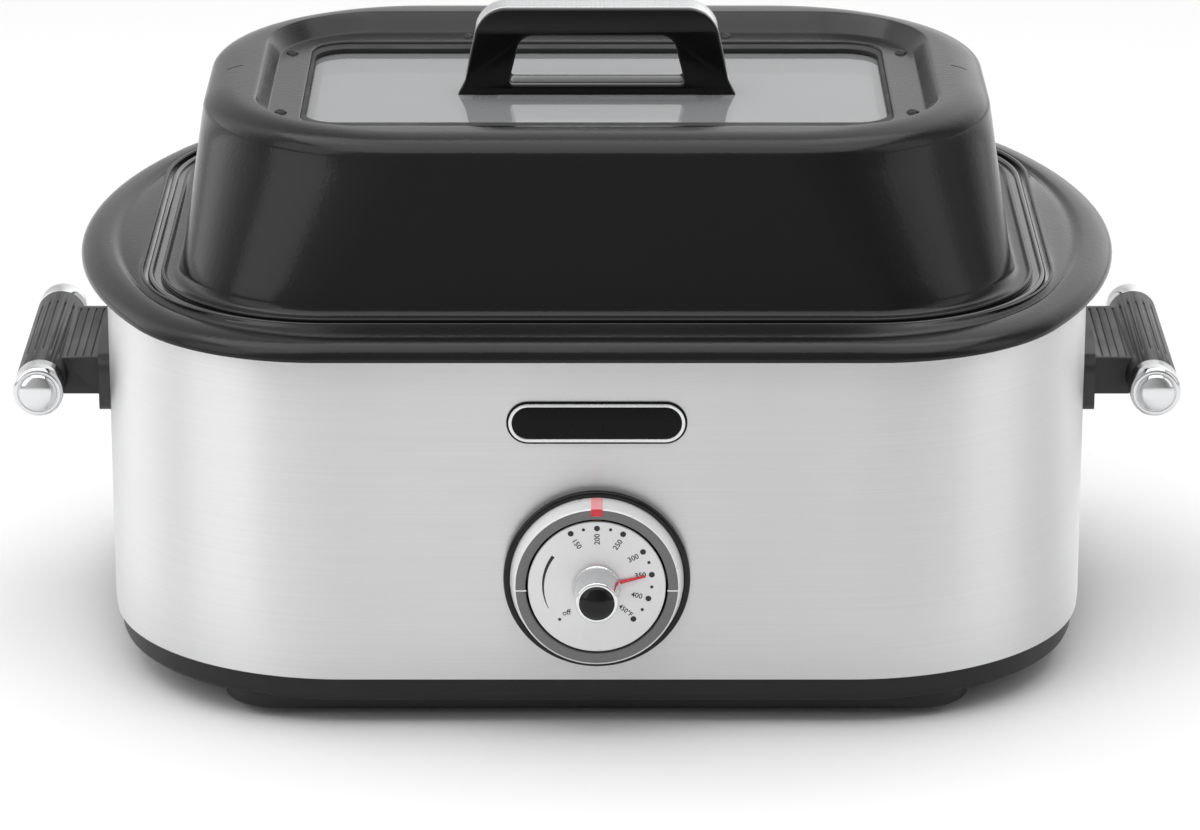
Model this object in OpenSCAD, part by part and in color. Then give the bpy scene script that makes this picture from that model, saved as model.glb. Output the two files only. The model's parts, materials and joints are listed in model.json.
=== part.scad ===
// Electric roaster oven: a steel-wrapped heating well with a lift-out pan,
// a wire rack and a lift-off domed lid with a viewing window.
// Millimetres. +Z is up, -Y is the front, the origin is on the table under the middle.

/* [Steel body] */
// How far the shell's ends stand out past the opening
shell_out_x = 25; // [24:0.5:32]
// How far the shell's front and back stand out past the opening
shell_out_y = 22; // [21:0.5:30]
// Radius of the four corners of the shell
shell_corner_r = 126; // [118:1:134]
// Radius of the gently bowed ends of the shell
shell_end_r = 715; // [600:5:900]
// Sheet thickness of the shell
shell_t = 0.8; // [0.6:0.1:1.2]
// Height of the shell sheet
shell_h = 177.5; // [172:0.5:205]

/* [Base] */
// Height of the rubber feet
foot_h = 5; // [4:0.5:9]
// Radius of the rubber feet
foot_r = 11; // [8:1:14]
// Distance of the feet from the ends of the bottom cover
foot_in_x = 34; // [26:1:60]
// Distance of the feet from the front and back of the bottom cover
foot_in_y = 36; // [32:1:60]
// How far the bottom cover stands in from the shell's ends
cover_in_x = 68; // [62:1:80]
// How far the bottom cover stands in from the shell's front and back
cover_in_y = 14; // [11:1:24]
// Corner radius of the bottom cover
cover_r = 28; // [24:1:50]
// Height of the bottom cover
cover_h = 8.5; // [7:0.5:12]
// Height of the black base that shows
base_h = 13.5; // [12:0.5:24]
// How far the base stands in from the shell
base_inset = 3; // [2.5:0.5:6]
// Wall of the base pan and of the bottom cover
base_t = 2; // [1.5:0.1:2.5]
// Height of the lip that carries the shell
lip_h = 9; // [6:1:14]

/* [Collar] */
// How far the collar's ends stand out past the opening
collar_out_x = 39.8; // [38:0.2:50]
// How far the collar's front and back stand out past the opening
collar_out_y = 30; // [29:0.5:40]
// Radius of the collar's corners
collar_corner_r = 109; // [104:1:116]
// Radius of the collar's bowed ends
collar_end_r = 330; // [300:1:400]
// Height of the collar's top above the upper edge of the shell
collar_rise = 7.5; // [7:0.1:12]
// Height of the collar's skirt under its rounding
skirt_h = 1; // [0.6:0.1:4]
// Height of the rounding at the collar's outer edge
edge_h = 8.5; // [7:0.1:9.5]
// Width of the rounding at the collar's ends
edge_w = 14.8; // [12:0.1:16]
// Width of the rounding at the collar's front and back
edge_d = 10.8; // [9:0.1:12]
// Sheet thickness of the collar
collar_t = 1.2; // [0.8:0.1:1.5]
// Height of the opening's rim above the collar's ridge
rim_rise = 2; // [1.5:0.1:3]
// Depth of the groove inside the ridge
groove_h = 1.4; // [0.6:0.1:2]
// Distance of the groove from the ridge at the ends
groove_w = 6; // [4:0.5:8]
// Distance of the groove from the ridge at the front and back
groove_d = 4.4; // [3:0.1:6]

/* [Well and pan] */
// Length of the opening in the collar
open_len = 474; // [468:1:478]
// Depth of the opening in the collar
open_dep = 372; // [366:1:376]
// Corner radius of the opening
open_r = 100; // [92:1:106]
// Height of the turned-down hem round the opening
hem_h = 4.7; // [4:0.1:6]
// Gap between the opening and the pan's rolled rim
pan_gap = 2; // [1:0.5:4]
// Thickness of the pan's rolled rim
bead_d = 3.4; // [2.6:0.2:4]
// Width of the ledge inside the pan's rim
ledge_w = 11.3; // [10:0.1:13]
// Sheet thickness of the pan
pan_t = 1.2; // [0.8:0.1:1.6]
// Depth of the pan
pan_depth = 141; // [110:1:146]
// How far the pan's wall leans in over its depth
pan_draft = 13; // [8:1:15]
// Radius between the pan's wall and floor
pan_fillet = 20; // [12:1:24]
// Rest gap under lift-off pieces
rest_gap = 0.3; // [0.3:0.05:0.4]
// Sheet thickness of the heating well
well_t = 0.8; // [0.6:0.1:1]
// How far the well's wall stands in from the opening
well_inset = 9; // [8:0.5:11]
// Width of the well's flange under the collar
well_flange = 14; // [10:1:16]
// Gap between the pan's floor and the well's floor
well_floor_gap = 15; // [8:1:30]
// Height of the band heater
heater_h = 40; // [25:1:60]
// Thickness of the band heater
heater_t = 2.4; // [1.5:0.1:3]
// Thickness of the insulation blanket
blanket_t = 13; // [8:0.5:13]
// Radius of the posts that carry the well
post_r = 6; // [4:0.5:9]
// Distance of the posts from the ends of the opening
post_in_x = 87; // [70:1:130]
// Distance of the posts from the front and back of the opening
post_in_y = 91; // [76:1:120]

/* [Rack] */
// How far the rack's frame stands in from the opening
rack_in = 51; // [48:0.5:60]
// Corner radius of the rack's frame
rack_r = 52; // [40:1:60]
// Radius of the frame wire
rack_wire = 2.5; // [2:0.1:3]
// Radius of the cross wires
rack_cross = 1.5; // [1.2:0.1:2]
// Number of cross wires
rack_count = 11; // [7:2:13]
// Height of the rack above the pan's floor
rack_lift = 12; // [10:1:25]
// Radius of the wire of the loops and feet
loop_wire = 2.2; // [1.8:0.1:2.3]
// Height of the rack's lifting loops
loop_h = 55; // [40:1:70]
// Width of the rack's lifting loops
loop_w = 110; // [80:1:130]

/* [Lid] */
// Height of the lid above its flange
lid_h = 87.5; // [80:0.5:100]
// Sheet thickness of the lid
lid_t = 1.2; // [1:0.1:1.6]
// Width of the lid's flat flange
flange_w = 3.6; // [3:0.1:5]
// Gap between the pan's bead and the lid's edge
lid_gap = 3.5; // [2:0.1:4]
// How far the lid's ends lean in
lean_x = 9; // [4:1:14]
// How far the lid's front and back lean in
lean_y = 20; // [12:1:24]
// Corner radius at the lid's top
lid_top_r = 112; // [100:1:120]
// Width of the rounding at the lid's top edge
crown_w = 19; // [14:1:22]
// Height of the rounding at the lid's top edge
crown_h = 11; // [8:1:14]
// Depth of the recess in the lid's top
recess_depth = 8.7; // [6:0.1:10]
// How far the recess floor reaches past the ends of the window
recess_out_x = 17.4; // [16:0.2:20]
// How far the recess floor reaches past the front and back of the window
recess_out_y = 19; // [16:0.5:20]
// Corner radius of the recess floor
recess_r = 51; // [48:1:60]
// Place of the recess edge at the ends, from the floor (0) to the crown (1)
recess_share_x = 0.42; // [0.3:0.01:0.6]
// Place of the recess edge at the front and back, from the floor to the crown
recess_share_y = 0.57; // [0.4:0.01:0.7]
// Length of the steam slits
slit_len = 9.6; // [6:0.2:12]
// Turn of the steam slits away from the lid's length
slit_turn = 32; // [0:1:45]

/* [Window] */
// Length of the window opening
window_len = 310; // [296:1:314]
// Depth of the window opening
window_dep = 170; // [156:1:174]
// Corner radius of the window opening
window_r = 20; // [12:1:26]
// Thickness of the glass
glass_t = 4; // [3:0.5:4.5]
// How far the glass reaches under the lid
glass_lap = 5; // [4:0.5:6]
// Thickness of the window seal
seal_t = 3; // [2.5:0.25:4]
// How far the seal shows inside the ends of the opening
seal_lip_x = 2; // [1:0.5:3]
// How far the seal shows inside the front and back of the opening
seal_lip_y = 10; // [4:1:12]
// Sheet thickness of the window's retaining frame
frame_t = 1.2; // [1:0.1:1.6]
// Width of the frame's flange beside the glass
frame_lap = 10; // [9:0.5:11]
// Radius of the rivet heads
rivet_r = 3.6; // [3:0.2:4]
// Radius of the rivet shanks
rivet_shank = 1.6; // [1.2:0.1:2]
// Place of the corner rivets along the depth
rivet_end_y = 60; // [50:1:70]
// Place of the long-side rivets along the length
rivet_side_x = 71; // [55:1:110]

/* [Lid handle] */
// Height of the lid handle
grip_h = 47; // [42:1:60]
// Half width of the lid handle at its foot
grip_foot = 74; // [70:1:84]
// Half width of the lid handle at its top
grip_top = 64; // [60:1:68]
// Rounding of the handle's upper corners
grip_r = 17; // [12:1:20]
// Depth of the lid handle, front to back
grip_dep = 22; // [18:1:26]
// Depth of the black front of the handle
grip_front = 5.5; // [4:0.5:8]
// Thickness of the handle's top bar
grip_bar = 14.5; // [12:0.5:18]
// Thickness of the handle's foot bar
grip_base = 5.5; // [4:0.5:8]
// Width of the handle's legs at the foot
grip_leg = 27.5; // [24:0.5:32]
// Thickness of the silver trim over the handle
trim_t = 2; // [1.5:0.5:3]
// Radius of the handle screws
screw_r = 2.5; // [2:0.25:3]
// Place of the handle screws along the length
screw_x = 60; // [57:1:63]

/* [Side handles] */
// Radius of the side grips
side_r = 13.5; // [12:0.5:15]
// Gap between the collar's end and the axis of the grip
side_out = 19.5; // [17:0.1:30]
// Height of the grip's axis above the table
side_z = 138.5; // [120:0.5:150]
// Length of the black part of the grip
side_len = 122; // [110:1:140]
// Length of each chrome end
end_len = 20; // [16:1:26]
// Length of the arm along the grip
arm_len = 93; // [80:1:100]
// Height of the arm
arm_h = 20; // [18:1:22]
// Width of the flange against the shell
pad_len = 124; // [110:1:140]
// Height of the flange against the shell
pad_h = 31; // [28:1:38]
// Thickness of the flange
pad_t = 6; // [5:0.5:8]
// Number of grooves over grip and arm
groove_count = 9; // [5:1:9]
// Spacing of the grooves
groove_pitch = 4.27; // [3.6:0.01:4.4]
// Distance of the handle bolts from the middle
bolt_y = 34; // [25:1:38]
// Radius of the handle bolts
bolt_r = 2.5; // [2:0.25:3]

/* [Dial] */
// Height of the dial's centre above the table
dial_z = 84; // [80:1:100]
// Outer radius of the black bezel
bezel_r = 47.7; // [46:0.1:50]
// Outer radius of the bezel where it meets the shell
bezel_foot_r = 45.5; // [45.2:0.1:47]
// Depth of the bezel
bezel_dep = 6.5; // [5:0.5:9]
// Radius at the foot of the silver drum
drum_foot_r = 44.3; // [43.5:0.1:45]
// Radius at the front of the silver drum
drum_front_r = 41.9; // [41:0.1:42.5]
// Depth of the drum from the shell
drum_dep = 17; // [15:0.5:20]
// Wall of the drum
drum_t = 2; // [1.5:0.1:2.5]
// Inner radius of the grey ring
ring_in_r = 36.2; // [35.8:0.1:37]
// Radius of the scale plate
plate_r = 35; // [33:0.1:35.4]
// Width of the red indicator lens
lens_w = 6; // [4:0.5:8]
// Radius of the control shaft
shaft_r = 3; // [2.5:0.25:3.5]
// Running clearance of the shaft, on the radius
shaft_fit = 0.06; // [0.02:0.01:0.1]
// Radius of the bushing round the shaft
bushing_r = 4.75; // [4.5:0.05:5.5]

/* [Knob] */
// Radius of the knob at the scale plate
knob_foot_r = 12.2; // [11:0.1:14]
// Radius of the knob at its front
knob_front_r = 10.8; // [9.8:0.1:11]
// Length of the knob
knob_len = 23.6; // [18:0.1:28]
// Radius of the knob's black cap
cap_r = 8.8; // [7.5:0.1:9.4]
// How far the cap stands out of the knob
cap_h = 3.6; // [2:0.1:5]
// Reach of the pointer from the shaft
pointer_r = 25.6; // [22:0.1:28]
// Angle of the pointer above level, where it rests
pointer_angle = 13.8; // [0:0.1:30]

/* [Badge and cord entry] */
// Length of the bare badge
badge_len = 91.7; // [80:0.1:100]
// Height of the bare badge
badge_h = 22.5; // [18:0.1:26]
// Height of the badge's centre above the table
badge_z = 166.5; // [158:0.5:172]
// Thickness of the badge
badge_t = 1.6; // [1.4:0.1:2.5]
// Distance of the cord entry from the middle
gland_x = 100; // [60:1:120]
// Height of the cord entry above the table
gland_z = 46; // [46:1:70]
// Radius of the cord entry's bore
gland_bore = 4; // [3:0.25:5]
// Radius of the cord entry's nose
gland_r = 8; // [7:0.5:9]
// Length of the nose behind the shell
gland_len = 14; // [10:1:14]

/* [Hidden] */
$fn = 96;
eps = 0.01;

cover_z = foot_h;
base_z = cover_z + cover_h;
shell_z = base_z + base_h;
collar_z = shell_z + shell_h + collar_rise;
ridge_z = collar_z - rim_rise;
edge_z = ridge_z - edge_h;

shell_len = open_len + 2 * shell_out_x;
shell_dep = open_dep + 2 * shell_out_y;
collar_len = open_len + 2 * collar_out_x;
collar_dep = open_dep + 2 * collar_out_y;
cover_len = shell_len - 2 * cover_in_x;
cover_dep = shell_dep - 2 * cover_in_y;
rack_len = open_len - 2 * rack_in;
rack_dep = open_dep - 2 * rack_in;

open_x = open_len / 2;
open_y = open_dep / 2;
half_x = shell_len / 2;
half_y = shell_dep / 2;
collar_x = collar_len / 2;
collar_y = collar_dep / 2;
cover_x = cover_len / 2;
cover_y = cover_dep / 2;
rack_x = rack_len / 2;
rack_y = rack_dep / 2;
window_x = window_len / 2;
window_y = window_dep / 2;
foot_x = cover_x - foot_in_x;
foot_y = cover_y - foot_in_y;
post_x = open_x - post_in_x;
post_y = open_y - post_in_y;

well_top = collar_z - hem_h;
ledge_bottom = well_top + rest_gap;
ledge_top = ledge_bottom + pan_t;
bead_u = -pan_gap - bead_d / 2;
wall_u = bead_u - ledge_w;
pan_floor = ledge_top - pan_depth;
well_floor = pan_floor - pan_t - well_floor_gap;

flange_z = ledge_top + rest_gap;
lid_edge_u = bead_u - bead_d / 2 - lid_gap;
lid_foot_u = lid_edge_u - 2.6 - flange_w;
lid_z = flange_z + lid_h;
floor_z = lid_z - recess_depth;
glass_z = floor_z - lid_t - seal_t;

side_x = collar_x + side_out;
side_sign = [-1, 1];

front_reach = half_y + drum_dep + knob_len + cap_h;
rear_reach = max(collar_y, half_y + gland_len);
body_y = (front_reach - rear_reach) / 2;

// ---------- outlines ----------

// half angle of a bowed end, and centre of the corner arc, of an oval
function corner_y(b, r) = b - r;
function corner_x(a, b, r, e) = a - e + sqrt((e - r) * (e - r) - (b - r) * (b - r));
function bow(a, b, r, e) = atan2(b - r, corner_x(a, b, r, e) - (a - e));

// points of an arc in a profile
function arc(cx, cy, r, from, to, n = 6) =
    [for (i = [0:n]) let (t = from + (to - from) * i / n) [cx + r * cos(t), cy + r * sin(t)]];

// an oval with straight sides, round corners and bowed ends
module oval(a, b, r, e) {
    cx = corner_x(a, b, r, e);
    cy = corner_y(b, r);
    t = bow(a, b, r, e);
    square([2 * cx, 2 * b], center = true);
    for (sx = side_sign, sy = side_sign)
        translate([sx * cx, sy * cy])
            circle(r);
    intersection() {
        translate([a - e, 0])
            circle(e, $fn = 360);
        translate([e - a, 0])
            circle(e, $fn = 360);
        square([2 * a + 2, 2 * e * sin(t)], center = true);
    }
}

// a rectangle with round corners
module panel(a, b, r) {
    square([2 * (a - r), 2 * b], center = true);
    square([2 * a, 2 * (b - r)], center = true);
    for (sx = side_sign, sy = side_sign)
        translate([sx * (a - r), sy * (b - r)])
            circle(r);
}

// sweeps a profile round a rectangle with round corners; x is the distance outward
module round_panel(a, b, r) {
    for (turn = [0, 180])
        rotate(turn) {
            translate([a - r, b - r])
                rotate_extrude(angle = 90)
                    translate([r, 0])
                        children();
            translate([r - a, b - r])
                rotate(90)
                    rotate_extrude(angle = 90)
                        translate([r, 0])
                            children();
            translate([r - a, b, 0])
                rotate([90, 0, 90])
                    linear_extrude(2 * (a - r))
                        children();
            translate([a, b - r, 0])
                rotate([90, 0, 0])
                    linear_extrude(2 * (b - r))
                        children();
        }
}

// the oval of the shell and the outline of the opening, moved out by u
module shell_outline(u = 0) {
    oval(half_x + u, half_y + u, shell_corner_r + u, shell_end_r + u);
}

module open_outline(u = 0) {
    panel(open_x + u, open_y + u, open_r + u);
}

// a flat plate from z up
module plate(z, t) {
    translate([0, 0, z])
        linear_extrude(t)
            children();
}

// a pin along -Y that starts at y
module pin_y(x, y, z, r, len, r2 = -1) {
    translate([x, y, z])
        rotate([90, 0, 0])
            cylinder(h = len, r1 = r, r2 = r2 < 0 ? r : r2);
}

// the whole object stands with the middle of its box over the origin
module stand() {
    translate([0, body_y, 0])
        children();
}

// ---------- skins ----------

ring_steps = 12;
bow_steps = 12;
straight = 1000000;

// one ring of points; s holds half length, half depth, corner radius, end radius, height,
// or two rings, the share of the second in the mix, and the height of the mix;
// bows is the number of chords along each end
function ring(s, bows) = len(s) == 4 ? mixed(s, ring(s[0], bows), ring(s[1], bows)) :
    let (
        t = bow(s[0], s[1], s[2], s[3]),
        cx = corner_x(s[0], s[1], s[2], s[3]),
        cy = s[1] - s[2],
        ex = s[0] - s[3]
    )
    [
        for (side = [0, 180])
            each concat(
                [for (i = [1:bows - 1])
                    let (p = side - t + 2 * t * i / bows)
                    [(side == 0 ? ex : -ex) + s[3] * cos(p), s[3] * sin(p), s[4]]],
                [for (i = [0:ring_steps])
                    let (p = side + t + (90 - t) * i / ring_steps)
                    [(side == 0 ? cx : -cx) + s[2] * cos(p),
                     (side == 0 ? cy : -cy) + s[2] * sin(p), s[4]]],
                [for (i = [0:ring_steps])
                    let (p = side + 90 + (90 - t) * i / ring_steps)
                    [(side == 0 ? -cx : cx) + s[2] * cos(p),
                     (side == 0 ? cy : -cy) + s[2] * sin(p), s[4]]]
            )
    ];

function mixed(s, p, q) =
    [for (i = [0:len(p) - 1])
        [p[i][0] + (q[i][0] - p[i][0]) * s[2], p[i][1] + (q[i][1] - p[i][1]) * s[2], s[3]]];

// a closed skin through a loop of rings
module skin(stations, bows) {
    n = 4 * (ring_steps + 1) + 2 * (bows - 1);
    m = len(stations);
    points = [for (s = stations) each ring(s, bows)];
    faces = [
        for (j = [0:m - 1], i = [0:n - 1])
            let (
                k = (j + 1) % m,
                l = (i + 1) % n,
                a = j * n + i,
                b = j * n + l,
                c = k * n + l,
                d = k * n + i
            )
            each [[a, b, c], [a, c, d]]
    ];
    polyhedron(points, faces);
}

// a ring on the opening's outline, moved out by u
function at(u, z) = [open_x + u, open_y + u, open_r + u, straight, z];

// ---------- base ----------

vent_count = 7;
vent_w = 5;
vent_len = 60;
vent_x = 95;
cover_screw_r = 2;
cover_screw_x = cover_x - 74;
cover_screw_y = cover_y - 24;

module vents(z, t) {
    for (side = side_sign, i = [0:vent_count - 1])
        translate([side * vent_x + (i - (vent_count - 1) / 2) * 2.4 * vent_w, 0, z - eps])
            linear_extrude(t + 2 * eps)
                panel(vent_w / 2, vent_len / 2, vent_w / 2 - eps);
}

module four(x, y) {
    for (sx = side_sign, sy = side_sign)
        translate([sx * x, sy * y, 0])
            children();
}

// a wall that stands on the outline of the shell, from u_in to u_out
module wall(z, h, u_in, u_out) {
    plate(z, h)
        difference() {
            shell_outline(u_out);
            shell_outline(u_in);
        }
}

module base_pan() {
    foot_u = -base_inset - 2.5;
    wall_u_in = -base_inset - base_t;
    lip_u = -shell_t - base_t;
    color([0.09, 0.09, 0.1])
        stand()
            difference() {
                union() {
                    plate(base_z, base_t)
                        shell_outline(foot_u);
                    wall(base_z + base_t, base_t, foot_u - base_t, -base_inset - 1);
                    wall(base_z + 2 * base_t, base_h - 2 * base_t, wall_u_in, -base_inset);
                    wall(shell_z, base_t, wall_u_in, -shell_t);
                    wall(shell_z + base_t, lip_h - base_t, lip_u, -shell_t);
                    four(cover_screw_x, cover_screw_y)
                        translate([0, 0, base_z + base_t - eps])
                            cylinder(h = 6, r = 5);
                    four(post_x, post_y)
                        translate([0, 0, base_z + base_t - eps])
                            cylinder(h = 3, r = post_r + 3);
                }
                vents(base_z, base_t);
                four(cover_screw_x, cover_screw_y)
                    translate([0, 0, base_z - eps])
                        cylinder(h = base_t + 6 + 2 * eps, r = cover_screw_r);
                four(post_x, post_y)
                    translate([0, 0, base_z + base_t])
                        cylinder(h = 4, r = post_r);
            }
}

module bottom_cover() {
    hem = 11;
    color([0.07, 0.07, 0.07])
        stand()
            difference() {
                union() {
                    round_panel(cover_x, cover_y, cover_r)
                        polygon([
                            [0, base_z],
                            [-0.6, cover_z + 1.2],
                            [-1.8, cover_z],
                            [-hem - 1, cover_z],
                            [-hem - 1, cover_z + base_t],
                            [-2 - base_t, cover_z + base_t],
                            [-base_t, cover_z + base_t + 2],
                            [-base_t, base_z]
                        ]);
                    plate(cover_z, base_t)
                        panel(cover_x - hem, cover_y - hem, cover_r - hem);
                    four(cover_screw_x, cover_screw_y)
                        translate([0, 0, cover_z])
                            cylinder(h = cover_h, r = 5);
                }
                vents(cover_z, base_t);
                four(cover_screw_x, cover_screw_y)
                    translate([0, 0, cover_z - eps])
                        cylinder(h = cover_h + 2 * eps, r = cover_screw_r);
                four(cover_screw_x, cover_screw_y)
                    translate([0, 0, cover_z - eps])
                        cylinder(h = 2, r = 2 * cover_screw_r);
                four(foot_x, foot_y)
                    translate([0, 0, cover_z - eps])
                        cylinder(h = base_t + 2 * eps, r = foot_r / 3);
            }
}

module feet() {
    color([0.05, 0.05, 0.05])
        stand()
            four(foot_x, foot_y) {
                cylinder(h = 1, r1 = foot_r - 1, r2 = foot_r);
                translate([0, 0, 1])
                    cylinder(h = foot_h - 1, r = foot_r);
                cylinder(h = foot_h + base_t, r = foot_r / 3);
                translate([0, 0, foot_h + base_t])
                    cylinder(h = 2, r1 = foot_r / 3 + 1.2, r2 = foot_r / 3 - 0.6);
            }
}

module cover_screws() {
    color([0.6, 0.6, 0.62])
        stand()
            four(cover_screw_x, cover_screw_y) {
                translate([0, 0, cover_z + 0.3])
                    cylinder(h = 1.7 - eps, r = 2 * cover_screw_r - 0.1);
                translate([0, 0, cover_z + 0.3])
                    cylinder(h = cover_h + base_t + 4, r = cover_screw_r);
            }
}

// ---------- steel shell and collar ----------

module outer_shell() {
    color([0.8, 0.8, 0.81])
        stand()
            difference() {
                wall(shell_z, shell_h, -shell_t, 0);
                pin_y(0, -half_y + 5, dial_z, bushing_r, 10);
                // slot from the lower edge, in which the cord entry slides up
                translate([gland_x - slot_w / 2, half_y - 5, shell_z - 1])
                    cube([slot_w, 10, gland_z + slot_w / 2 - shell_z + 1]);
                for (sx = side_sign, sy = side_sign)
                    translate([sx * half_x - 10, sy * bolt_y, side_z])
                        rotate([0, 90, 0])
                            cylinder(h = 20, r = bolt_r);
            }
}

// the collar's outer edge, its ridge and the groove inside the ridge
function edge_at(u, z) =
    [collar_x + u, collar_y + u, collar_corner_r + u, collar_end_r + u, z];
ridge = [collar_x - edge_w, collar_y - edge_d, collar_corner_r + 10, collar_end_r - 10, ridge_z];
groove = [ridge[0] - groove_w, ridge[1] - groove_d, ridge[2] + 1, ridge[3] + 40,
    ridge_z - groove_h];
rise = collar_z - groove[4];
slope_end_r = 600;

// half way up the slope between the groove and the opening
function slope_at(z) =
    [(groove[0] + open_x) / 2, (groove[1] + open_y) / 2, (groove[2] + open_r) / 2 + 3,
     slope_end_r, z];

// rounding of the collar, a runs from 0 at the skirt to 90 on the ridge
function edge_round(a, t = 0) =
    [edge_at(-t, 0), ridge, 1 - cos(a), edge_z + (edge_h - t) * sin(a)];

function collar_stations() =
    let (
        t = collar_t,
        slope_z = groove[4] + 0.55 * rise
    )
    concat(
        [edge_at(-0.3, edge_z - skirt_h), edge_at(0, edge_z - skirt_h + 0.3)],
        [for (a = [0, 15, 30, 45, 60, 75, 90]) edge_round(a)],
        [[ridge, groove, 0.4, ridge_z - 0.3], [ridge, groove, 0.8, groove[4] + 0.3], groove,
         slope_at(slope_z), at(1.6, collar_z - 0.3), at(0.6, collar_z),
         at(0.2, collar_z - 0.3), at(0, collar_z - 0.8), at(0, well_top), at(t, well_top),
         at(t, slope_z - 1.3 * t), slope_at(slope_z - 1.2 * t),
         [groove, ridge, 0, groove[4] - t]],
        [for (a = [90, 67.5, 45, 22.5, 0]) edge_round(a, t)],
        [edge_at(-t, edge_z - skirt_h)]
    );

module top_collar() {
    color([0.06, 0.06, 0.065])
        stand()
            skin(collar_stations(), bow_steps);
}

// ---------- heating well ----------

module heating_well() {
    u = -well_inset;
    f = 14;
    color([0.62, 0.63, 0.64])
        stand() {
            round_panel(open_x, open_y, open_r)
                polygon(concat(
                    [[well_flange, well_top], [u + 1, well_top], [u, well_top - 1]],
                    arc(u - f, well_floor + f, f, 0, -90),
                    [[u - f - 1, well_floor], [u - f - 1, well_floor - well_t]],
                    arc(u - f, well_floor + f, f + well_t, -90, 0),
                    [[u + well_t, well_top - well_t - 0.6], [u + well_t + 0.6, well_top - well_t],
                     [well_flange, well_top - well_t]]
                ));
            plate(well_floor - well_t, well_t)
                open_outline(u - f);
        }
}

module band_heater() {
    u = -well_inset + well_t;
    z = well_floor + 22;
    color([0.5, 0.48, 0.46])
        stand()
            difference() {
                round_panel(open_x, open_y, open_r)
                    polygon([
                        [u, z], [u + heater_t, z + 2], [u + heater_t, z + heater_h / 2 - 4],
                        [u + 1, z + heater_h / 2 - 2], [u + 1, z + heater_h / 2 + 2],
                        [u + heater_t, z + heater_h / 2 + 4], [u + heater_t, z + heater_h - 2],
                        [u, z + heater_h]
                    ]);
                // notch for the thermostat's sensor
                translate([-sensor_r - 4, -open_y - 1, sensor_z - sensor_r - 20])
                    cube([2 * sensor_r + 8, 2 * well_inset, 2 * sensor_r + 24]);
            }
}

blanket_u = -well_inset + well_t + heater_t;

module insulation_blanket() {
    z = well_floor + 4;
    color([0.88, 0.86, 0.78])
        stand()
            difference() {
                round_panel(open_x, open_y, open_r)
                    translate([blanket_u, z])
                        square([blanket_t, well_top - well_t - 2 - z]);
                // room for the thermostat
                translate([-thermo_w / 2 - 4, -open_y - 30, dial_z - thermo_h / 2 - 4])
                    cube([thermo_w + 8, 40, thermo_h + 8]);
            }
}

module support_posts() {
    color([0.7, 0.7, 0.72])
        stand()
            four(post_x, post_y)
                translate([0, 0, base_z + base_t])
                    cylinder(h = well_floor - well_t - base_z - base_t, r = post_r);
}

// ---------- thermostat and wiring ----------

thermo_w = 34;
thermo_h = 30;
sensor_r = 7;
sensor_z = dial_z - 4;
thermo_front = -half_y + shell_t + 1.6;
thermo_back = -open_y + well_inset - 4;

module thermostat() {
    cheek = 8;
    color([0.85, 0.83, 0.78])
        stand()
            difference() {
                union() {
                    translate([-thermo_w / 2, thermo_front, dial_z - thermo_h / 2])
                        cube([thermo_w, thermo_back - thermo_front, thermo_h]);
                    pin_y(0, thermo_front + eps, dial_z, bushing_r - 0.05,
                        thermo_front + half_y + 5.5);
                    // sensor button that touches the well
                    pin_y(0, -open_y + well_inset - well_t, sensor_z, sensor_r,
                        -open_y + well_inset - well_t - thermo_back + eps);
                }
                pin_y(0, thermo_front + cheek, dial_z, shaft_r + shaft_fit,
                    thermo_front + half_y + 2 * cheek);
            }
}

module thermostat_bracket() {
    tab = 10;
    sheet = 1.6;
    cheek = 14;
    color([0.66, 0.67, 0.68])
        stand()
            difference() {
                union() {
                    translate([-thermo_w / 2 - tab, -half_y + shell_t, dial_z - thermo_h / 2 - 6])
                        cube([thermo_w + 2 * tab, sheet, thermo_h + 12]);
                    for (side = side_sign)
                        translate([side * (thermo_w + sheet) / 2 - sheet / 2, -half_y + shell_t,
                            dial_z - thermo_h / 2])
                            cube([sheet, cheek, thermo_h]);
                }
                pin_y(0, -half_y + 10, dial_z, bushing_r, 20);
            }
}

module terminal_block() {
    z = base_z + base_t;
    color([0.9, 0.9, 0.86])
        stand()
            translate([gland_x - 60, half_y - 50, z])
                difference() {
                    cube([44, 18, 16]);
                    for (i = [0:2])
                        translate([9 + 13 * i, 9, 8])
                            cylinder(h = 20, r = 3);
                }
}

slot_w = 2 * gland_r - 4;

module cord_gland() {
    flange_t = 2.5;
    flange_r = gland_r + 3;
    color([0.05, 0.05, 0.055])
        stand()
            difference() {
                union() {
                    pin_y(gland_x, half_y + flange_t, gland_z, flange_r, flange_t);
                    translate([gland_x - flange_r, half_y, shell_z])
                        cube([2 * flange_r, flange_t, gland_z - shell_z]);
                    pin_y(gland_x, half_y + gland_len, gland_z, gland_r - 1.5,
                        gland_len - flange_t + eps, gland_r);
                    pin_y(gland_x, half_y + eps, gland_z, gland_r - 2, 10);
                }
                pin_y(gland_x, half_y + gland_len + 1, gland_z, gland_bore, gland_len + 20);
            }
}

module gland_nut() {
    color([0.08, 0.08, 0.085])
        stand()
            difference() {
                translate([gland_x, half_y - shell_t, gland_z])
                    rotate([90, 0, 0])
                        cylinder(h = 4, r = gland_r + 3, $fn = 6);
                pin_y(gland_x, half_y + 5, gland_z, gland_r - 2, 20);
            }
}

// ---------- dial ----------

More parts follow.
